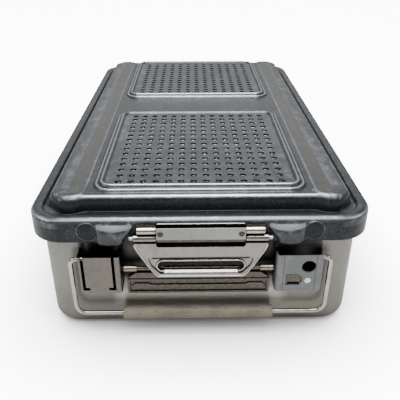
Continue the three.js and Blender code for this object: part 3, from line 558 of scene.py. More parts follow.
# Painted shade: a darker copy of stainless steel for the hinge block, rivets, inlay and latch plate
steel_shaded = stainless_steel("stainless_steel_shaded", "#45413b", "#645f57", 0.18, 0.3, 5, 0.95)
bush_steel = stainless_steel("browned_bush_steel", "#8b7f72", "#a2968a", 0.22, 0.36, 3, 0.9)
# Painted shade: a darker copy of drawn steel for the keeper rod
rod_steel_shaded = stainless_steel("drawn_rod_steel_shaded", "#5c5853", "#726e68", 0.2, 0.32, 6, 0.95)
blasted = blasted_steel()
silicone = moulded_silicone()


# Lid
def rail_height(x, start=RAIL_START, width=RAIL_WIDTH):
    """Height of the top over its middle: up on the side rails, a little down at the border."""
    border = 0.4 * smooth_step((abs(x) - STRIP_EDGE + 0.3) / 5)
    return RAIL_RISE * smooth_step((abs(x) - start) / width) - border


def wall_foot(x, nx, ny):
    """Inset of the plateau wall: the rails' ends stand forward, the middle is set back."""
    at_side, at_lobe, set_back, at_corner = 15.5, 14.6, 4.4, 4.8
    at_end = at_lobe + set_back * smooth_step((LOBE_PLACE + 2 - abs(x)) / 13)
    return at_end * abs(ny) + at_side * (1 - abs(ny)) + at_corner * abs(nx * ny)


def shoulder_push(x, y, z):
    """How far the pressed shoulders stand out of the skirt, and how near the middle of one x is."""
    if abs(abs(y) - LID_HALF_Y) > 0.01:
        return 0.0, 0.0
    taper, taper_height, side_round = 8.0, 15, 2.5
    inner = SHOULDER_INNER + taper * (1 - smooth_step((z - SKIRT_BOTTOM) / taper_height))
    middle, half = (SHOULDER_OUTER + inner) / 2, (SHOULDER_OUTER - inner) / 2
    off = min(abs(abs(x) - middle) / half, 1.0)
    side = math.sqrt(1 - off ** 2.4) * smooth_step((1 - off) * half / side_round)
    down = min(max((SHOULDER_TOP - z) / SHOULDER_ROUND, 0.0), 1.0)
    tuck = 0.84 + 0.16 * smooth_step((z - 97) / 8)
    return SHOULDER_REACH * side * math.sin(math.pi / 2 * down) * tuck, side


def shoulder_highlight(x, z, side):
    """Painted highlights: a band along a shoulder's top, low in the middle, a streak down from its inner end,
    and a faint lift over the body.
    """
    crease, sag, half_width, fade = 112.9, 1.7, 0.6 + 1.1 * side, 1.6
    line = smooth_step(side * 3) * (1 - smooth_step((abs(z - crease + sag * side ** 2) - half_width) / fade))
    streak_top, streak_x, slant = 113, 61.5, 2.3
    streak = 1 - smooth_step((abs(abs(x) - streak_x - slant * (streak_top - z)) - 0.8) / 2.6)
    streak *= smooth_step(side * 4) * smooth_step((z - 106) / 3)
    body = 0.26 * smooth_step(side * 3) * smooth_step((z - 96) / 14)
    return 0.06 + 0.94 * max(line, 0.8 * streak, body)


def lid_rows(path):
    """Rows of the lid's outer surface from the skirt's edge to the flat top, with wear and painted
    highlights, and painted shade with grime.
    """
    rows, wear_and_highlight, grime_and_shade = [], [], []

    def row(cells, worn_and_lit, shade_and_dirt):
        rows.append(cells)
        wear_and_highlight.extend(worn_and_lit if isinstance(worn_and_lit, list) else [worn_and_lit] * len(cells))
        grime_and_shade.extend(shade_and_dirt if isinstance(shade_and_dirt, list) else [shade_and_dirt] * len(cells))

    def level(inset, z, worn_and_lit, shade_and_dirt):
        row([(x - nx * inset, y - ny * inset, z) for x, y, nx, ny in path], worn_and_lit, shade_and_dirt)

    def wall(climb, worn_and_lit, shade_and_dirt, fixed_z=None):
        """A row on the plateau's wall, where climb(lobe) gives its inset and its share of the height."""
        cells = []
        for x, y, nx, ny in path:
            on_rail = abs(ny) > 0.5 or abs(x) > RAIL_EDGE
            rise = rail_height(x, LOBE_START, LOBE_WIDTH) if on_rail else 0.0
            offset, share = climb(max(rise, 0) / RAIL_RISE)
            inset = wall_foot(x, nx, ny) + offset
            z = WALL_BASE + (CENTRE_TOP + rise - WALL_BASE) * share
            cells.append((x - nx * inset, y - ny * inset, z if fixed_z is None else fixed_z))
        row(cells, worn_and_lit, shade_and_dirt)

    for k in range(SKIRT_ROWS + 1):
        z = SKIRT_BOTTOM + SKIRT_HEIGHT * k / SKIRT_ROWS
        cells, worn_and_lit, shade_and_dirt = [], [], []
        for x, y, nx, ny in path:
            push, side = shoulder_push(x, y, z)
            # Painted highlights on the shoulders; painted shade on the skirt, less on the shoulders
            worn_and_lit.append(0.3 if z < SKIRT_BOTTOM + 0.8 else shoulder_highlight(x, z, side))
            shade_and_dirt.append(0.6 - 0.5 * smooth_step(side * 1.5))
            dip = 0.78 * side * smooth_step((SKIRT_BOTTOM + 4.3 - z) / 4.3)
            cells.append((x + nx * push, y + ny * push, z - dip))
        row(cells, worn_and_lit, shade_and_dirt)
    # The rim's roll, with a painted highlight peaking part way round it
    for k in range(1, 8):
        a = math.radians(90 * k / 7)
        level(RIM_ROUND * (1 - math.cos(a)), CREST_TOP - RIM_ROUND * (1 - math.sin(a)),
              max(0.0, 0.95 - 0.85 * abs(k - 3.2) / 3), 0.25 * (k < 2))
    # The rim's inner side and the channel: inset, height, wear, and painted shade in the channel
    for inset, z, worn_and_lit, shade_and_dirt in (
            (6.0, CREST_TOP - 0.05, 0.1, 0.1), (7.6, CREST_TOP - 0.3, 0.1, 0.15),
            (8.8, CREST_TOP - 0.75, 0.25, 0.2), (9.7, CREST_TOP - 1.5, 0.05, 0.8),
            (10.7, CHANNEL_TOP + 0.7, 0.0, 0.95), (11.4, CHANNEL_TOP + 0.1, 0.05, 0.95),
            (12.9, CHANNEL_TOP, 0.05, 0.95)):
        level(inset, z, worn_and_lit, shade_and_dirt)
    # The wall's foot in the channel, in painted shade
    wall(lambda lobe: (-0.9, 0), 0.05, 0.95, CHANNEL_TOP)
    wall(lambda lobe: (-0.3, 0), 0.0, 0.9, CHANNEL_TOP + 0.25)
    for offset, share, worn_and_lit, shade_and_dirt in ((0.0, 0, 0.0, 0.55), (0.4, 0.25, 0.0, 0.35), (0.8, 0.45, 0.05, 0.12)):
        wall(lambda lobe: (offset, share), worn_and_lit, shade_and_dirt)
    # The plateau's rounded crest, with a painted highlight on it
    for k in range(8):
        a = math.radians(90 * k / 7)
        crest = max(0.0, 0.95 - 0.38 * abs(k - 5))
        wall(lambda lobe: (1.1 + (4.8 + 2.6 * lobe) * (1 - math.cos(a)),
                           0.6 - 0.1 * lobe + (0.4 + 0.1 * lobe) * math.sin(a)),
             [crest * (1 - 0.35 * smooth_step((abs(x) - 92) / 8)) for x, _, _, _ in path], 0.0)
    inner = [(x - nx * TOP_INSET, y - ny * TOP_INSET) for x, y, nx, ny in path]
    row([(x, y, CENTRE_TOP + rail_height(x)) for x, y in inner], 0.12, 0.0)
    return rows, wear_and_highlight, grime_and_shade


# A vent's bead, from the plateau over two crests down to the panel: inset, rise, wear with painted highlights
# on the crests, and painted shade in the valleys
BEAD = (
    (-1.6, 0.0, 0.05, 0.1), (-0.7, 0.15, 0.05, 0.35), (0.0, 0.7, 0.1, 0.3), (0.6, 1.6, 0.4, 0),
    (1.1, 2.25, 0.95, 0), (1.7, 2.5, 0.9, 0), (2.4, 2.45, 0.3, 0.1), (3.2, 2.25, 0.05, 0.35),
    (3.9, 2.45, 0.05, 0.35), (4.5, 3.3, 0.1, 0.2),
    (5.1, 4.2, 0.5, 0), (5.7, 4.75, 1.0, 0), (6.3, 4.9, 0.8, 0), (7.0, 4.85, 0.3, 0), (7.7, 4.4, 0.15, 0),
    (8.4, 3.7, 0.1, 0.3), (9.0, 3.2, 0.1, 0.6), (9.6, 3.04, 0.25, 0.3), (PANEL_INSET, 3.0, 0.4, 0.1))
BEAD_FOOT, SLACK = 1.6, 0.01


def filled(loops, keep, extra_points=(), extra_edges=()):
    """Triangles between closed loops in the XY plane, where keep(x, y) says so."""
    coords, edges = [], []
    for loop in loops:
        start = len(coords)
        coords.extend(Vector((x, y)) for x, y in loop)
        edges.extend((start + i, start + (i + 1) % len(loop)) for i in range(len(loop)))
    start = len(coords)
    coords.extend(Vector(p) for p in extra_points)
    edges.extend((start + a, start + b) for a, b in extra_edges)
    out_points, _, out_faces, _, _, _ = delaunay_2d_cdt(coords, edges, [], 0, 1e-5)
    faces = []
    for face in out_faces:
        x = sum(out_points[i].x for i in face) / 3
        y = sum(out_points[i].y for i in face) / 3
        if keep(x, y):
            a, b, c = (out_points[i] for i in face)
            turn = (b.x - a.x) * (c.y - a.y) - (b.y - a.y) * (c.x - a.x)
            faces.append(list(face) if turn > 0 else list(face)[::-1])
    return [(p.x, p.y) for p in out_points], faces


def within(x, y, half_x, half_y, corner, grow):
    """Whether a place is inside a round-cornered rectangle whose border is moved out by some amount."""
    dx = max(abs(x) - (half_x - corner), 0)
    dy = max(abs(y) - (half_y - corner), 0)
    return abs(x) < half_x + grow and abs(y) < half_y + grow and math.hypot(dx, dy) < corner + grow


def lid_mesh():
    rail_lines = [97.7, 98.3, 99.0, 99.7]
    xs = [float(x) for x in range(-113, 114) if 53 <= abs(x) <= 89 or abs(x) >= 101]
    xs += [x * 6.0 for x in range(-8, 9)]
    xs += [side * x for x in rail_lines + [91, 93, 95, 96.4, 100.4] for side in SIDES]
    path = rounded_frame(LID_HALF_X, LID_HALF_Y, LID_CORNER, xs, [y * 12.0 for y in range(-17, 18)], 12)
    parts, wear_and_highlight, grime_and_shade = [], [], []

    def take(part, part_wear_and_highlight, part_grime_and_shade):
        parts.append(part)
        wear_and_highlight.extend(part_wear_and_highlight)
        grime_and_shade.extend(part_grime_and_shade)

    rows, row_wear_and_highlight, row_grime_and_shade = lid_rows(path)
    take(swept(len(path), rows), row_wear_and_highlight, row_grime_and_shade)
    loops = [[(x, y) for x, y, _ in rows[-1]]]
    shapes = []
    turns = [2 * math.pi * k / HOLE_SIDES for k in range(HOLE_SIDES)]
    wide, open_to = HOLE_RADIUS + HOLE_EDGE, HOLE_RADIUS + HOLE_EDGE * 0.9
    hole_rings = ((wide, 0.0), (HOLE_RADIUS + 0.12, 0.16), (HOLE_RADIUS, 0.4), (HOLE_RADIUS, HOLE_DEPTH))
    # Each hole has a painted highlight on its near edge and painted shade on its walls
    near = [1.0 if math.sin(a) < -0.3 else 0.1 for a in turns]
    hole_wear_and_highlight = [0.2] * HOLE_SIDES + near + [0.0] * 2 * HOLE_SIDES
    hole_shade = [0.0] * HOLE_SIDES + [0.0 if n > 0.5 else 0.9 for n in near] + [1.0] * 2 * HOLE_SIDES
    for low, high, columns, pitch_x, lines, pitch_y, rows_middle in VENTS:
        middle, half_y = (low + high) / 2, (high - low) / 2
        ring = rounded_frame(VENT_HALF_X, half_y, VENT_CORNER, [-60, -30, 0, 30, 60],
                             [y * 15.0 for y in range(-6, 7)], 9)
        rows = [[(x - nx * inset, y + middle - ny * inset, CENTRE_TOP + rise) for x, y, nx, ny in ring]
                for inset, rise, _, _ in BEAD]
        take(swept(len(ring), rows), [worn_and_lit for _, _, worn_and_lit, _ in BEAD for _ in ring],
             [shade_and_dirt for _, _, _, shade_and_dirt in BEAD for _ in ring])
        loops.append([(x, y) for x, y, _ in rows[0]])
        shapes.append((middle, half_y))
        holes = [((place - (columns - 1) / 2) * pitch_x, rows_middle + (line - (lines - 1) / 2) * pitch_y)
                 for line in range(lines) for place in range(columns)]

        def solid_sheet(x, y):
            on_panel = within(x, y - middle, VENT_HALF_X, half_y, VENT_CORNER, SLACK - PANEL_INSET)
            return on_panel and not any(math.hypot(x - hx, y - hy) < open_to for hx, hy in holes)

        rims = [[(hx + wide * math.cos(a), hy + wide * math.sin(a)) for a in turns] for hx, hy in holes]
        flat, flat_faces = filled([[(x, y) for x, y, _ in rows[-1]]] + rims, solid_sheet)
        take(([(x, y, PANEL_TOP) for x, y in flat], flat_faces), [0.16] * len(flat), [0.0] * len(flat))
        for hx, hy in holes:
            rings = [[(hx + radius * math.cos(a), hy + radius * math.sin(a), PANEL_TOP - drop)
                      for a in turns] for radius, drop in hole_rings]
            take(swept(HOLE_SIDES, rings), hole_wear_and_highlight, hole_shade)

    extra, links = [], []
    reach = LID_HALF_Y - TOP_INSET
    stops = [-reach] + [y * 14.0 for y in range(-15, 16)] + [reach]
    for x in [side * line for line in rail_lines + [112.3, 113.0, 113.8] for side in SIDES]:
        start = len(extra)
        extra.extend((x, y) for y in stops)
        links.extend((start + i, start + i + 1) for i in range(len(stops) - 1))

    def flat_top(x, y):
        on_lid = within(x, y, LID_HALF_X, LID_HALF_Y, LID_CORNER, SLACK - TOP_INSET)
        return on_lid and not any(within(x, y - middle, VENT_HALF_X, half_y, VENT_CORNER, BEAD_FOOT - SLACK)
                                  for middle, half_y in shapes)

    flat, flat_faces = filled(loops, flat_top, extra, links)
    # The rails' inner edges are rubbed most, the border beside them less
    take(([(x, y, CENTRE_TOP + rail_height(x)) for x, y in flat], flat_faces),
         [0.7 if 98 < abs(x) < 99.3 else 0.42 if abs(x) > STRIP_EDGE else 0.07 for x, y in flat],
         [0.0] * len(flat))
    points, faces = merged(parts)
    # The rim's four corners are rubbed a little more than its sides
    for i, (x, y, z) in enumerate(points):
        if 110 < z < CREST_TOP - 1 and abs(x) > 118 and abs(y) > 222:
            wear_and_highlight[i] = max(wear_and_highlight[i], 0.32)

    mesh = as_mesh("lid", points, faces)
    mark(mesh, "wear_and_highlight", wear_and_highlight)
    mark(mesh, "grime_and_shade", grime_and_shade)
    mark(mesh, "warm", [float(99 < abs(x) < STRIP_EDGE and abs(y) < reach + 1 and z > CENTRE_TOP + 0.8)
                        for x, y, z in points])
    form = bmesh.new()
    form.from_mesh(mesh)
    bmesh.ops.remove_doubles(form, verts=form.verts, dist=0.02 * MM)
    bmesh.ops.recalc_face_normals(form, faces=form.faces)
    if sum(face.calc_area() * face.normal.z for face in form.faces) < 0:
        bmesh.ops.reverse_faces(form, faces=form.faces)
    form.to_mesh(mesh)
    form.free()
    return finished(shade(mesh, 46),
                    ("SOLIDIFY", {"thickness": SHEET * MM, "offset": -1.0, "use_even_offset": False}),
                    ("WEIGHTED_NORMAL", {"keep_sharp": True}))


def skirt_pads():
    """Two round pads pressed out of the skirt, each with a fine groove round it."""
    profile = [(0.0, PAD_RADIUS), (0.525, PAD_RADIUS), (0.9, PAD_RADIUS - 0.35), (0.9, PAD_RADIUS - 1.0),
               (0.675, PAD_RADIUS - 1.4), (0.825, PAD_RADIUS - 1.9), (0.825, 0.4)]
    shaped, faces = facing_front(profile, PAD_PLACE, SKIRT_Y + PAD_SINK, PAD_Z, 48)
    other = [(-x, y, z) for x, y, z in shaped]
    mesh = as_mesh("pad", *merged([(shaped, faces), flipped(other, faces)]))
    from_edge = [math.hypot(abs(x) - PAD_PLACE, z - PAD_Z) - PAD_RADIUS for x, _, z in shaped + other]
    # A painted highlight on each pad's edge, painted shade on its face
    mark(mesh, "wear_and_highlight", [0.5 if abs(off) < 0.5 else 0.05 for off in from_edge])
    mark(mesh, "grime_and_shade", [0.2 if off > -0.5 else 0.8 for off in from_edge])
    return shade(mesh)


fit("lid_shell_made", lid_mesh(), anodised, "lid", "dark_anodised", "lid_shell")
both_ends("skirt_pads", skirt_pads(), anodised, "lid", "dark_anodised", replacing=False)


# Tub
def tub_mesh():
    across = [x * 10.0 for x in range(-11, 12)] + [side * x for x in (101.5, 103.4) for side in SIDES]
    path = rounded_frame(TUB_HALF_X, TUB_HALF_Y, TUB_CORNER, across, [y * 20.0 for y in range(-10, 11)], 10)
    foot = [(1 - math.sin(math.radians(a)), 1 - math.cos(math.radians(a))) for a in range(0, 91, 9)]
    outer = [(FOOT_ROUND * inset, FOOT_ROUND * z) for inset, z in foot]
    outer += [(0, z) for z in range(20, 104, 4)]
    outer += [(0, 106.6), (-0.3, 107.6), (0.6 - TUB_LIP, 110.1), (-TUB_LIP, 110.9), (-TUB_LIP, TUB_TOP - 0.5),
              (0.5 - TUB_LIP, TUB_TOP)]
    inner_round = FOOT_ROUND - TUB_SHEET
    inner = [(1.1, TUB_TOP), (TUB_SHEET, TUB_TOP - 0.5), (TUB_SHEET, 80), (TUB_SHEET, 40)]
    inner += [(TUB_SHEET + inner_round * inset, TUB_SHEET + inner_round * z) for inset, z in reversed(foot)]
    rows = [[(x - nx * inset, y - ny * inset, z) for x, y, nx, ny in path] for inset, z in outer + inner]
    points, faces = capped(len(path), rows)
    mesh = as_mesh("tub", points, faces)
    grime_and_shade, residue_and_painted_light = [], []
    for x, y, z in points:
        at_end = abs(y) > TUB_HALF_Y - 0.5
        # Painted shade on the end walls under the lid and behind the latch; a pale film above the grip,
        # partly residue and partly painted light
        near_latch = smooth_step((z - 53) / 7) * smooth_step((78 - abs(x)) / 10)
        near_lid = smooth_step((z - 80) / 7) * (abs(x) < BRACKET_OUTER - 1)
        over_grip = smooth_step((46 - z) / 6) * smooth_step((z - 24) / 6) * smooth_step((78 - abs(x)) / 12)
        grime_and_shade.append(max(near_latch, near_lid) * at_end)
        residue_and_painted_light.append(0.9 * over_grip * at_end)
    mark(mesh, "grime_and_shade", grime_and_shade)
    mark(mesh, "residue_and_painted_light", residue_and_painted_light)
    return evened(mesh, 35)


fit("base_shell_made", tub_mesh(), aluminium, "base", "satin_aluminium", "base_shell")


# Latch hinge
def wire(name, line, y, radius, sides=20):
    """A round wire along a line of (x, z) points."""
    path = [Vector(p) for p in line]
    rows = []
    for i, point in enumerate(path):
        before = path[max(i - 1, 0)]
        after = path[min(i + 1, len(path) - 1)]
        along = ((point - before).normalized() + (after - point).normalized()).normalized()
        ring = []
        for k in range(sides):
            a = 2 * math.pi * k / sides
            across = radius * math.cos(a)
            ring.append((point.x - along.y * across, y + radius * math.sin(a), point.y + along.x * across))
        rows.append(ring)
    return shade(as_mesh(name, *flipped(*capped(sides, rows))))


def plain_rod(name, x0, x1, y, z, radius):
    return shade(as_mesh(name, *rod_along_x(x0, x1, y, z, radius, 0.4, 36)))


def rivet_holes(reach):
    return [disc(side * RIVET_X, RIVET_Z, RIVET_HOLE, BLOCK_FACE - reach, SKIRT_Y + 2, 20) for side in SIDES]


def hinge_block():
    """The leaf against the skirt, with a groove between its upper edge and the name plate."""
    back = SKIRT_Y - SEAT
    wing_end = BLOCK_HALF + WING
    leaf = brick(-BLOCK_HALF, BLOCK_HALF, BLOCK_FACE, back, BLOCK_BOTTOM, BLOCK_TOP)
    wings = brick(-wing_end, wing_end, back - 1.2, back + 0.01, BLOCK_TOP - 7, BLOCK_TOP - 0.02)
    wide, front = BLOCK_HALF + 1, BLOCK_FACE - 1
    cuts = rivet_holes(2) + [
        rod_along_x(-40, 40, PIN_Y, PIN_Z, PIN_RADIUS + 0.3, 0.1, 24),
        brick(-wide, wide, front, back - 1.6, BLOCK_TOP - 2.6, BLOCK_TOP + 1),
        brick(-wide, wide, front, BLOCK_FACE + 1.1, BLOCK_BOTTOM - 1, PLATE_LOW + 0.6)]
    return carved("hinge_block", [leaf, wings], cuts)


def hinge_rolls():
    """The rolls at both ends of the leaf and the bead along its upper edge."""
    bead_half = BLOCK_HALF - 0.5
    bead = brick(-bead_half, bead_half, SKIRT_Y - 1.8, SKIRT_Y - SEAT, BLOCK_TOP + 0.05, BLOCK_TOP + 0.9)
    roll_end = BLOCK_HALF + WING
    rolls = rod_pair(BLOCK_HALF + 0.2, roll_end, SKIRT_Y - 3.5, BLOCK_TOP - 4.5, ROLL_RADIUS, 0.5, 40)
    return carved("rolls", [bead] + rolls, bevel=0.2)


def name_plate():
    outline = rounded([(-BLOCK_HALF, PLATE_LOW), (BLOCK_HALF, PLATE_LOW), (BLOCK_HALF, PLATE_TOP),
                       (-BLOCK_HALF, PLATE_TOP)], 0.9)
    face = BLOCK_FACE - SEAT
    return carved("name_plate", [prism(outline, face - PLATE_THICK, face)], rivet_holes(3), 0.15)


def rivet(side):
    """A rivet with a shallow dished head."""
    profile = [(-9.0, 2.3), (-8.3, 2.3), (-8.3, 1.5), (0.0, 1.5), (0.0, 2.2), (0.3, 2.45), (0.75, 2.2),
               (0.9, 1.8), (0.75, 1.4), (0.25, 1.0), (0.2, 0.2)]
    face = BLOCK_FACE - SEAT - PLATE_THICK
    return shade(as_mesh("rivet", *facing_front(profile, side * RIVET_X, face, RIVET_Z, 28)))


both_ends("hinge_block", hinge_block(), steel_shaded, "lid", "satin_steel")
both_ends("hinge_rolls", hinge_rolls(), bright_steel, "lid", "satin_steel", replacing=False)
both_ends("name_plate", name_plate(), plate_silver, "lid", "satin_steel")
for rivet_side, rivet_name in zip(SIDES, ("rivet_left", "rivet_right")):
    both_ends(rivet_name, rivet(rivet_side), steel_shaded, "lid", "satin_steel")
both_ends("hinge_pin", plain_rod("pin", -PIN_HALF, PIN_HALF, PIN_Y, PIN_Z, PIN_RADIUS), bright_steel,
          "lid", "polished_steel")


# Latch lever
LEVER_CORNERS = [0, 3, 6, 4, 4, 6, 3, 0]


def latch_lever():
    inner = BLOCK_HALF + 0.6
    wall = 1.8
    side = [(LEVER_HALF, PIN_Z), (54.0, PIN_Z - 9.5), (44.4, PIN_Z - 26.3), (37.0, LEVER_LOW)]
    outline = paired(side, LEVER_CORNERS)
    inset = [(LEVER_HALF - wall, PIN_Z + 2), *[(x - wall, z) for x, z in side[1:3]], (35.8, LEVER_LOW + wall)]
    hollow = paired(inset, [0, 3, 5, 3, 3, 5, 3, 0])
    dish_side = [(45.0, PIN_Z - 17.3), (41.4, PIN_Z - 26.3), (34.6, LEVER_LOW + 3.4)]
    dish = paired(dish_side, [3.5, 5, 3, 3, 5, 3.5])
    slot = slot_outline(SLOT_HALF, SLOT_LOW + SLOT_RADIUS, SLOT_RADIUS, 12)
    window = mirror([(inner, PIN_Z + 6), (inner, PIN_Z - 5.4), (inner - 1.5, PIN_Z - 6.9)])
    plate = prism(outline, LEVER_FACE, LEVER_BACK + 1.6)
    front, sheet_back = LEVER_FACE - 1, LEVER_BACK + 0.7
    cuts = [prism(dish, LEVER_FACE - 2, LEVER_FACE + 1.4), prism(slot, LEVER_FACE - 2, LEVER_BACK + 4),
            prism(window, LEVER_FACE - 4, LEVER_BACK + 6), prism(hollow, sheet_back, LEVER_BACK + 4),
            brick(-60, 60, front, sheet_back, PIN_Z - 3.5, PIN_Z + 6),
            brick(-40.5, 40.5, front, LEVER_FACE + 2.2, PIN_Z - 19.6, PIN_Z - 16.6),
            brick(-31, 31, front, LEVER_BACK + 4, SLOT_LOW - 3, SLOT_LOW + 1)]
    barrels = rod_pair(inner, LEVER_HALF, PIN_Y, PIN_Z, BARREL_RADIUS, 0.4, 36)
    hook = brick(-10, 10, LEVER_BACK + 0.8, ROD_Y - ROD_RADIUS - 0.3, ROD_Z - 1.8, ROD_Z + 0.6)
    fittings = as_mesh("fittings", *merged(barrels + [hook]))
    whole = joined("lever", [carved("lever", [plate], cuts, 0.0), fittings])
    return evened(bevelled(whole, 0.5, 3, 40))


def slot_collar():
    """The rolled collar round the lever's finger slot, with a sloped lower lip."""
    middle = SLOT_LOW + SLOT_RADIUS
    back = ROD_Y - ROD_RADIUS - 0.5
    face = LEVER_FACE + 0.1
    outer, bore = (slot_outline(SLOT_HALF, middle, radius, 14) for radius in (6.0, SLOT_RADIUS))
    cuts = [prism(bore, LEVER_FACE - 2, LEVER_BACK + 4),
            brick(-31, 31, LEVER_FACE - 2, back + 1, SLOT_LOW - 3, SLOT_LOW + 2)]
    ring = carved("slot_collar", [prism(outer, face, back)], cuts, 0.55, 4)
    profile = [(face, SLOT_LOW - 3.2), (face, SLOT_LOW - 2.7), (LEVER_FACE + 0.7, SLOT_LOW - 2.0),
               (LEVER_FACE + 2.5, SLOT_LOW - 0.6), (back, SLOT_LOW - 0.6), (back, SLOT_LOW - 3.2)]
    lip = carved("slot_lip", [bar(profile, -31.2, 31.2)], (), 0.4, 3)
    return shade(joined("slot_collar", [ring, lip]))


def lever_edge():
    """The bead along the lever's edge."""
    side = [(55.0, PIN_Z - 4.4), (53.3, PIN_Z - 9.4), (43.8, PIN_Z - 26.1), (36.7, PIN_Z - 36.6)]
    return wire("lever_edge", paired(side, LEVER_CORNERS), LEVER_FACE + 0.3, 0.85, 12)


both_ends("latch_lever", latch_lever(), lever_steel, "latch", "satin_steel")
both_ends("slot_collar", slot_collar(), collar_steel, "latch", "polished_steel", replacing=False)
both_ends("lever_edge", lever_edge(), bright_steel, "latch", "polished_steel", replacing=False)


# Brackets
def bracket_outline(x0, x1, face, back, radius):
    front = arc(x1 - radius, face + radius, radius, 0, -90, 6)
    front += arc(x0 + radius, face + radius, radius, -90, -180, 6)
    return [(x1, back)] + front + [(x0, back)]


def bracket(x0, x1, cuts, shade_from, shade_amount):
    """An open-topped bracket with its back plate; painted shade darkens it behind a place in Y."""
    back = WALL_Y - SEAT
    thick = BRACKET_THICK
    shell = column(bracket_outline(x0, x1, BRACKET_FACE, back, 2.6), BRACKET_LOW, BRACKET_TOP)
    rise = [(x0, BRACKET_TOP - 5), (x1, BRACKET_TOP - 5), (x1, BRACKET_TOP + 8.2), (x0, BRACKET_TOP + 8.2)]
    plate = prism(rounded(rise, [0, 0, 4, 4]), back - thick, back - 0.01)
    pocket = column(bracket_outline(x0 + thick, x1 - thick, BRACKET_FACE + thick, back - thick + 0.03, 1.2),
                    BRACKET_LOW + thick, BRACKET_TOP + 3)
    rod_side, pivot_side = (x1 - thick, x0) if x1 < 0 else (x0, x1 - thick)
    holes = [rod_along_x(x - 1, x + thick + 1, y, z, 2.3, 0.01, 24)
             for x, y, z in ((rod_side, ROD_Y, ROD_Z), (pivot_side, PIVOT_Y, PIVOT_Z))]
    mesh = carved("bracket", [shell, plate], [pocket] + holes + cuts, 0.35)
    return mark(mesh, "grime_and_shade", [shade_amount * (vertex.co.y > shade_from * MM) for vertex in mesh.vertices])


CUT_FRONT, CUT_BACK = BRACKET_FACE - 2, BRACKET_FACE + BRACKET_THICK + 0.8


def card_bracket():
    low = BRACKET_LOW + 2.5
    slot, foot = 2.5, 6
    left, right = -BRACKET_OUTER + 2.8, CARD_INNER - 7.4
    cuts = []
    for x, notch in ((left, left), (right, right + 2.2 - foot)):
        cuts.append(brick(x, x + slot, CUT_FRONT, CUT_BACK, low, BRACKET_TOP + 4))
        cuts.append(brick(notch, notch + foot, CUT_FRONT, CUT_BACK, low - 0.01, low + 2.8))
    return bracket(-BRACKET_OUTER, CARD_INNER, cuts, BRACKET_FACE + 5, 0.9)


def seal_bracket():
    x0, z0 = SEAL_INNER + 8.8, BRACKET_LOW + 6.5
    x1, z1 = x0 + 13.8, z0 + 11.6
    middle, tip = (z0 + z1) / 2, 4
    house = [(x0, z0), (x1 - tip, z0), (x1, middle - 2), (x1, middle + 2), (x1 - tip, z1), (x0, z1)]
    cuts = [disc(DOT_X, BRACKET_TOP - 11, 6.0, CUT_FRONT, CUT_BACK, 40),
            prism(rounded(house, 0.6, 3), CUT_FRONT, BRACKET_FACE + 0.9),
            brick(x0 + 1.5, x0 + 12, CUT_FRONT, CUT_BACK, z0 + 0.01, z0 + 2.6)]
    cuts += [brick(x, x + 0.5, CUT_FRONT, BRACKET_FACE + 0.35, BRACKET_LOW - 1, BRACKET_TOP + 1)
             for x in (SEAL_INNER + 6.2, BRACKET_OUTER - 6.6)]
    return bracket(SEAL_INNER, BRACKET_OUTER, cuts, WALL_Y - 3, 0.93)


def seal_inlay():
    """The shield-shaped indicator panel set into the seal bracket."""
    x0, z0 = SEAL_INNER + 9.2, BRACKET_LOW + 9.6
    x1, z1 = x0 + 13.0, BRACKET_LOW + 17.7
    shield = [(x0, z0), (x1 - 3.6, z0), (x1, z0 + 2.4), (x1, z1 - 3.4), (x1 - 3.6, z1), (x0, z1)]
    panel = prism(rounded(shield, 0.8, 3), BRACKET_FACE + 0.45, BRACKET_FACE + 0.89)
    return carved("inlay", [panel], bevel=0.1)


def indicator_dot():
    profile = [(0.0, 2.7), (0.25, 2.7), (0.4, 2.4), (0.4, 0.3)]
    return shade(as_mesh("dot", *facing_front(profile, DOT_X, BRACKET_FACE - SEAT, BRACKET_LOW + 11.3, 32)))


both_ends("card_bracket", card_bracket(), bracket_steel_shaded, "base", "polished_steel")
both_ends("seal_bracket", seal_bracket(), blasted, "base", "matte_grey")
both_ends("seal_inlay", seal_inlay(), steel_shaded, "base", "matte_grey", replacing=False)
both_ends("indicator_dot", indicator_dot(), white_enamel(), "base", "white_enamel")
both_ends("keeper_rod", plain_rod("rod", CARD_INNER - 3.9, SEAL_INNER + 3.9, ROD_Y, ROD_Z, ROD_RADIUS),
          rod_steel_shaded, "base", "polished_steel")
for bush_name, bush_x in (("keeper_bush_left", CARD_INNER + 1.5), ("keeper_bush_right", SEAL_INNER - 13.0)):
    both_ends(bush_name, plain_rod("bush", bush_x, bush_x + 11.5, ROD_Y, ROD_Z, 2.9), bush_steel,
              "base", "satin_steel")


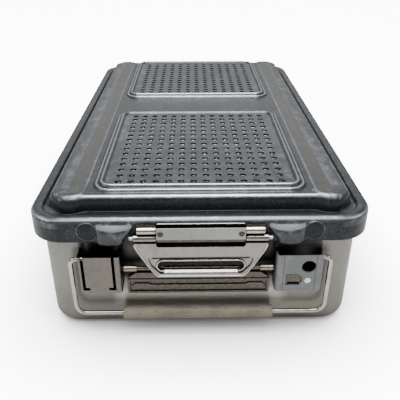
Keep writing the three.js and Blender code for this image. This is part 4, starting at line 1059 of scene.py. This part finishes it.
# Latch plate
def latch_plate():
    """A ribbed plate on the wall: a slanting upper tier over a framed field with a long rib."""
    middle = (SEAL_INNER + CARD_INNER) / 2
    half = (SEAL_INNER - CARD_INNER) / 2 - 3.1
    top = ROD_Z - ROD_RADIUS - 6.3
    low, tier, slant = top - 22.3, top - 6.1, half - 8
    back = WALL_Y - SEAT
    face = back - 0.6
    reach = face - 1.7
    plate = prism(mirror([(slant, top), (half, tier), (half, low)]), back - 1.2, back)
    upper = prism(paired([(slant, top), (half - 2, tier + 2), (half - 2, tier)], 1.2, 3), reach, face)
    frame_top = tier - 1
    border = prism(paired([(half, frame_top), (half, low)], 1.5, 4), reach, face)
    field = prism(paired([(half - 2, frame_top - 2), (half - 2, low + 2)], 1.2, 4), reach - 2, back - 1.2)
    centre, end = (frame_top + low) / 2, half - 3.3
    inner = end - 15
    rib_side = [(inner - 3, 1.7), (inner, 3.0), (end - 3, 3.0), (end, 0), (end - 3, -3.0), (inner, -3.0),
                (inner - 3, -1.7)]
    rib = prism(paired([(x, centre + z) for x, z in rib_side], 0.5, 2), reach, face)
    framed = carved("latch_plate", [plate, border], [field], 0.45, 3)
    raised = carved("ribs", [upper, rib], (), 0.6, 3)
    return shade(joined("latch_plate", [framed, raised], middle))


both_ends("latch_plate", latch_plate(), steel_shaded, "base", "satin_steel")


# Bail handle
def bail_wire():
    """A round wire through the pivots, the legs and the grip."""
    start = BRACKET_OUTER - 4
    shoulder, corner = 5.5, 9
    half = [(start, PIVOT_Z), (start + 2, PIVOT_Z)]
    half += arc(LEG_X - shoulder, PIVOT_Z - shoulder, shoulder, 90, 0, 10)
    half += arc(LEG_X - corner, GRIP_Z + corner, corner, 0, -90, 12)
    return wire("bail", mirror(half), PIVOT_Y, WIRE_RADIUS)


def grip_sleeve():
    """A moulded sleeve with rounded ends and a slight swell."""
    ends = [(0.0, 2.4), (0.0, GRIP_RADIUS - 0.8), (0.3, GRIP_RADIUS - 0.25), (0.9, GRIP_RADIUS)]
    profile = [(GRIP_LEFT + x, radius) for x, radius in ends]
    profile += [(GRIP_LEFT + 4 + i * 12.45, GRIP_RADIUS - 0.12 * math.sin(i * 1.3) ** 2) for i in range(11)]
    profile += [(GRIP_RIGHT - x, radius) for x, radius in reversed(ends)]
    points, faces = turned(profile, 40)
    return shade(as_mesh("grip", [(x, y + PIVOT_Y, z + GRIP_Z) for x, y, z in points], faces), 50)


both_ends("bail", bail_wire(), bright_steel, "handle", "polished_steel")
both_ends("grip", grip_sleeve(), silicone, "handle", "grip_silicone")

# Pieces kept from the model
inside_lid = {"lid_gasket": gasket_silicone(), "filter": filter_fleece(), "retention_plate": aluminium}
for node_name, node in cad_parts.items():
    finish = next((kept for stem, kept in inside_lid.items() if node_name.startswith(stem)), satin_steel)
    node.data.materials.clear()
    node.data.materials.append(finish)


# Floor, light and camera
def studio():
    material, tree, _ = new_finish("floor", {
        "Roughness": 0.8, "Base Color": linear("#c4c4c4"), "Emission Color": (1, 1, 1, 1)})
    contact_shadow_reach, glow_strength, half = 0.11, 11.0, 6000
    glow = add(tree, "LightPath", {}, out="Is Camera Ray")
    # Painted contact shadow: the floor's glow is darkened near the model by ambient occlusion
    painted_contact_shadow = add(tree, "AmbientOcclusion", {"samples": 8, "Distance": contact_shadow_reach}, out="AO")
    for _ in range(3):
        glow = add(tree, "Math", TIMES, {0: glow, 1: painted_contact_shadow})
    glow = add(tree, "Math", TIMES | {1: glow_strength}, {0: glow})
    tree.links.new(glow, tree.nodes["Principled BSDF"].inputs["Emission Strength"])
    corners = [(-half, -half, 0), (half, -half, 0), (half, half, 0), (-half, half, 0)]
    mesh = as_mesh("floor", corners, [[0, 1, 2, 3]])
    mesh.materials.append(material)
    placed("floor", mesh)

    world = bpy.data.worlds.new("studio")
    bpy.context.scene.world = world
    world.use_nodes = True
    sky = world.node_tree
    aim = add(sky, "TexCoord", {}, out="Generated")
    height = add(sky, "SeparateXYZ", {}, {0: aim}, "Z")
    strength = add(sky, "MapRange", {"From Max": 0.7, "To Min": 0.22, "To Max": 0.5}, {"Value": height})
    sky.nodes["Background"].inputs["Color"].default_value = (0.98, 0.99, 1, 1)
    sky.links.new(strength, sky.nodes["Background"].inputs["Strength"])

    # Each light: place, turn, size in metres and power
    for name, spot, turn, size, power in (
            ("overhead", (0, 0.0, 1.5), (0, 0, 0), (0.8, 1.1), 54),
            ("behind", (0, 2.2, 1.1), (-1.15, 0, 0), (2.4, 0.8), 5.5),
            ("front", (0, -0.85, 1.35), (0.5, 0, 0), (1.2, 0.3), 9),
            ("left", (-1.5, -0.6, 0.9), (0.35, -1.0, 0), (0.5, 1.2), 8),
            ("right", (1.5, -0.6, 0.9), (0.35, 1.0, 0), (0.5, 1.2), 5)):
        data = bpy.data.lights.new(name, "AREA")
        data.shape = "RECTANGLE"
        data.size, data.size_y = size
        data.energy = power
        lamp = placed(name, data)
        lamp.location = spot
        lamp.rotation_euler = turn


studio()
camera_data = bpy.data.cameras.new("camera")
camera_data.sensor_width = 36
camera_data.lens = 45.69
camera = placed("camera", camera_data)
camera.location = (-0.0064, -0.6024, 0.3301)
camera.rotation_euler = (math.radians(61.16), 0, math.radians(-0.92))
bpy.context.scene.camera = camera
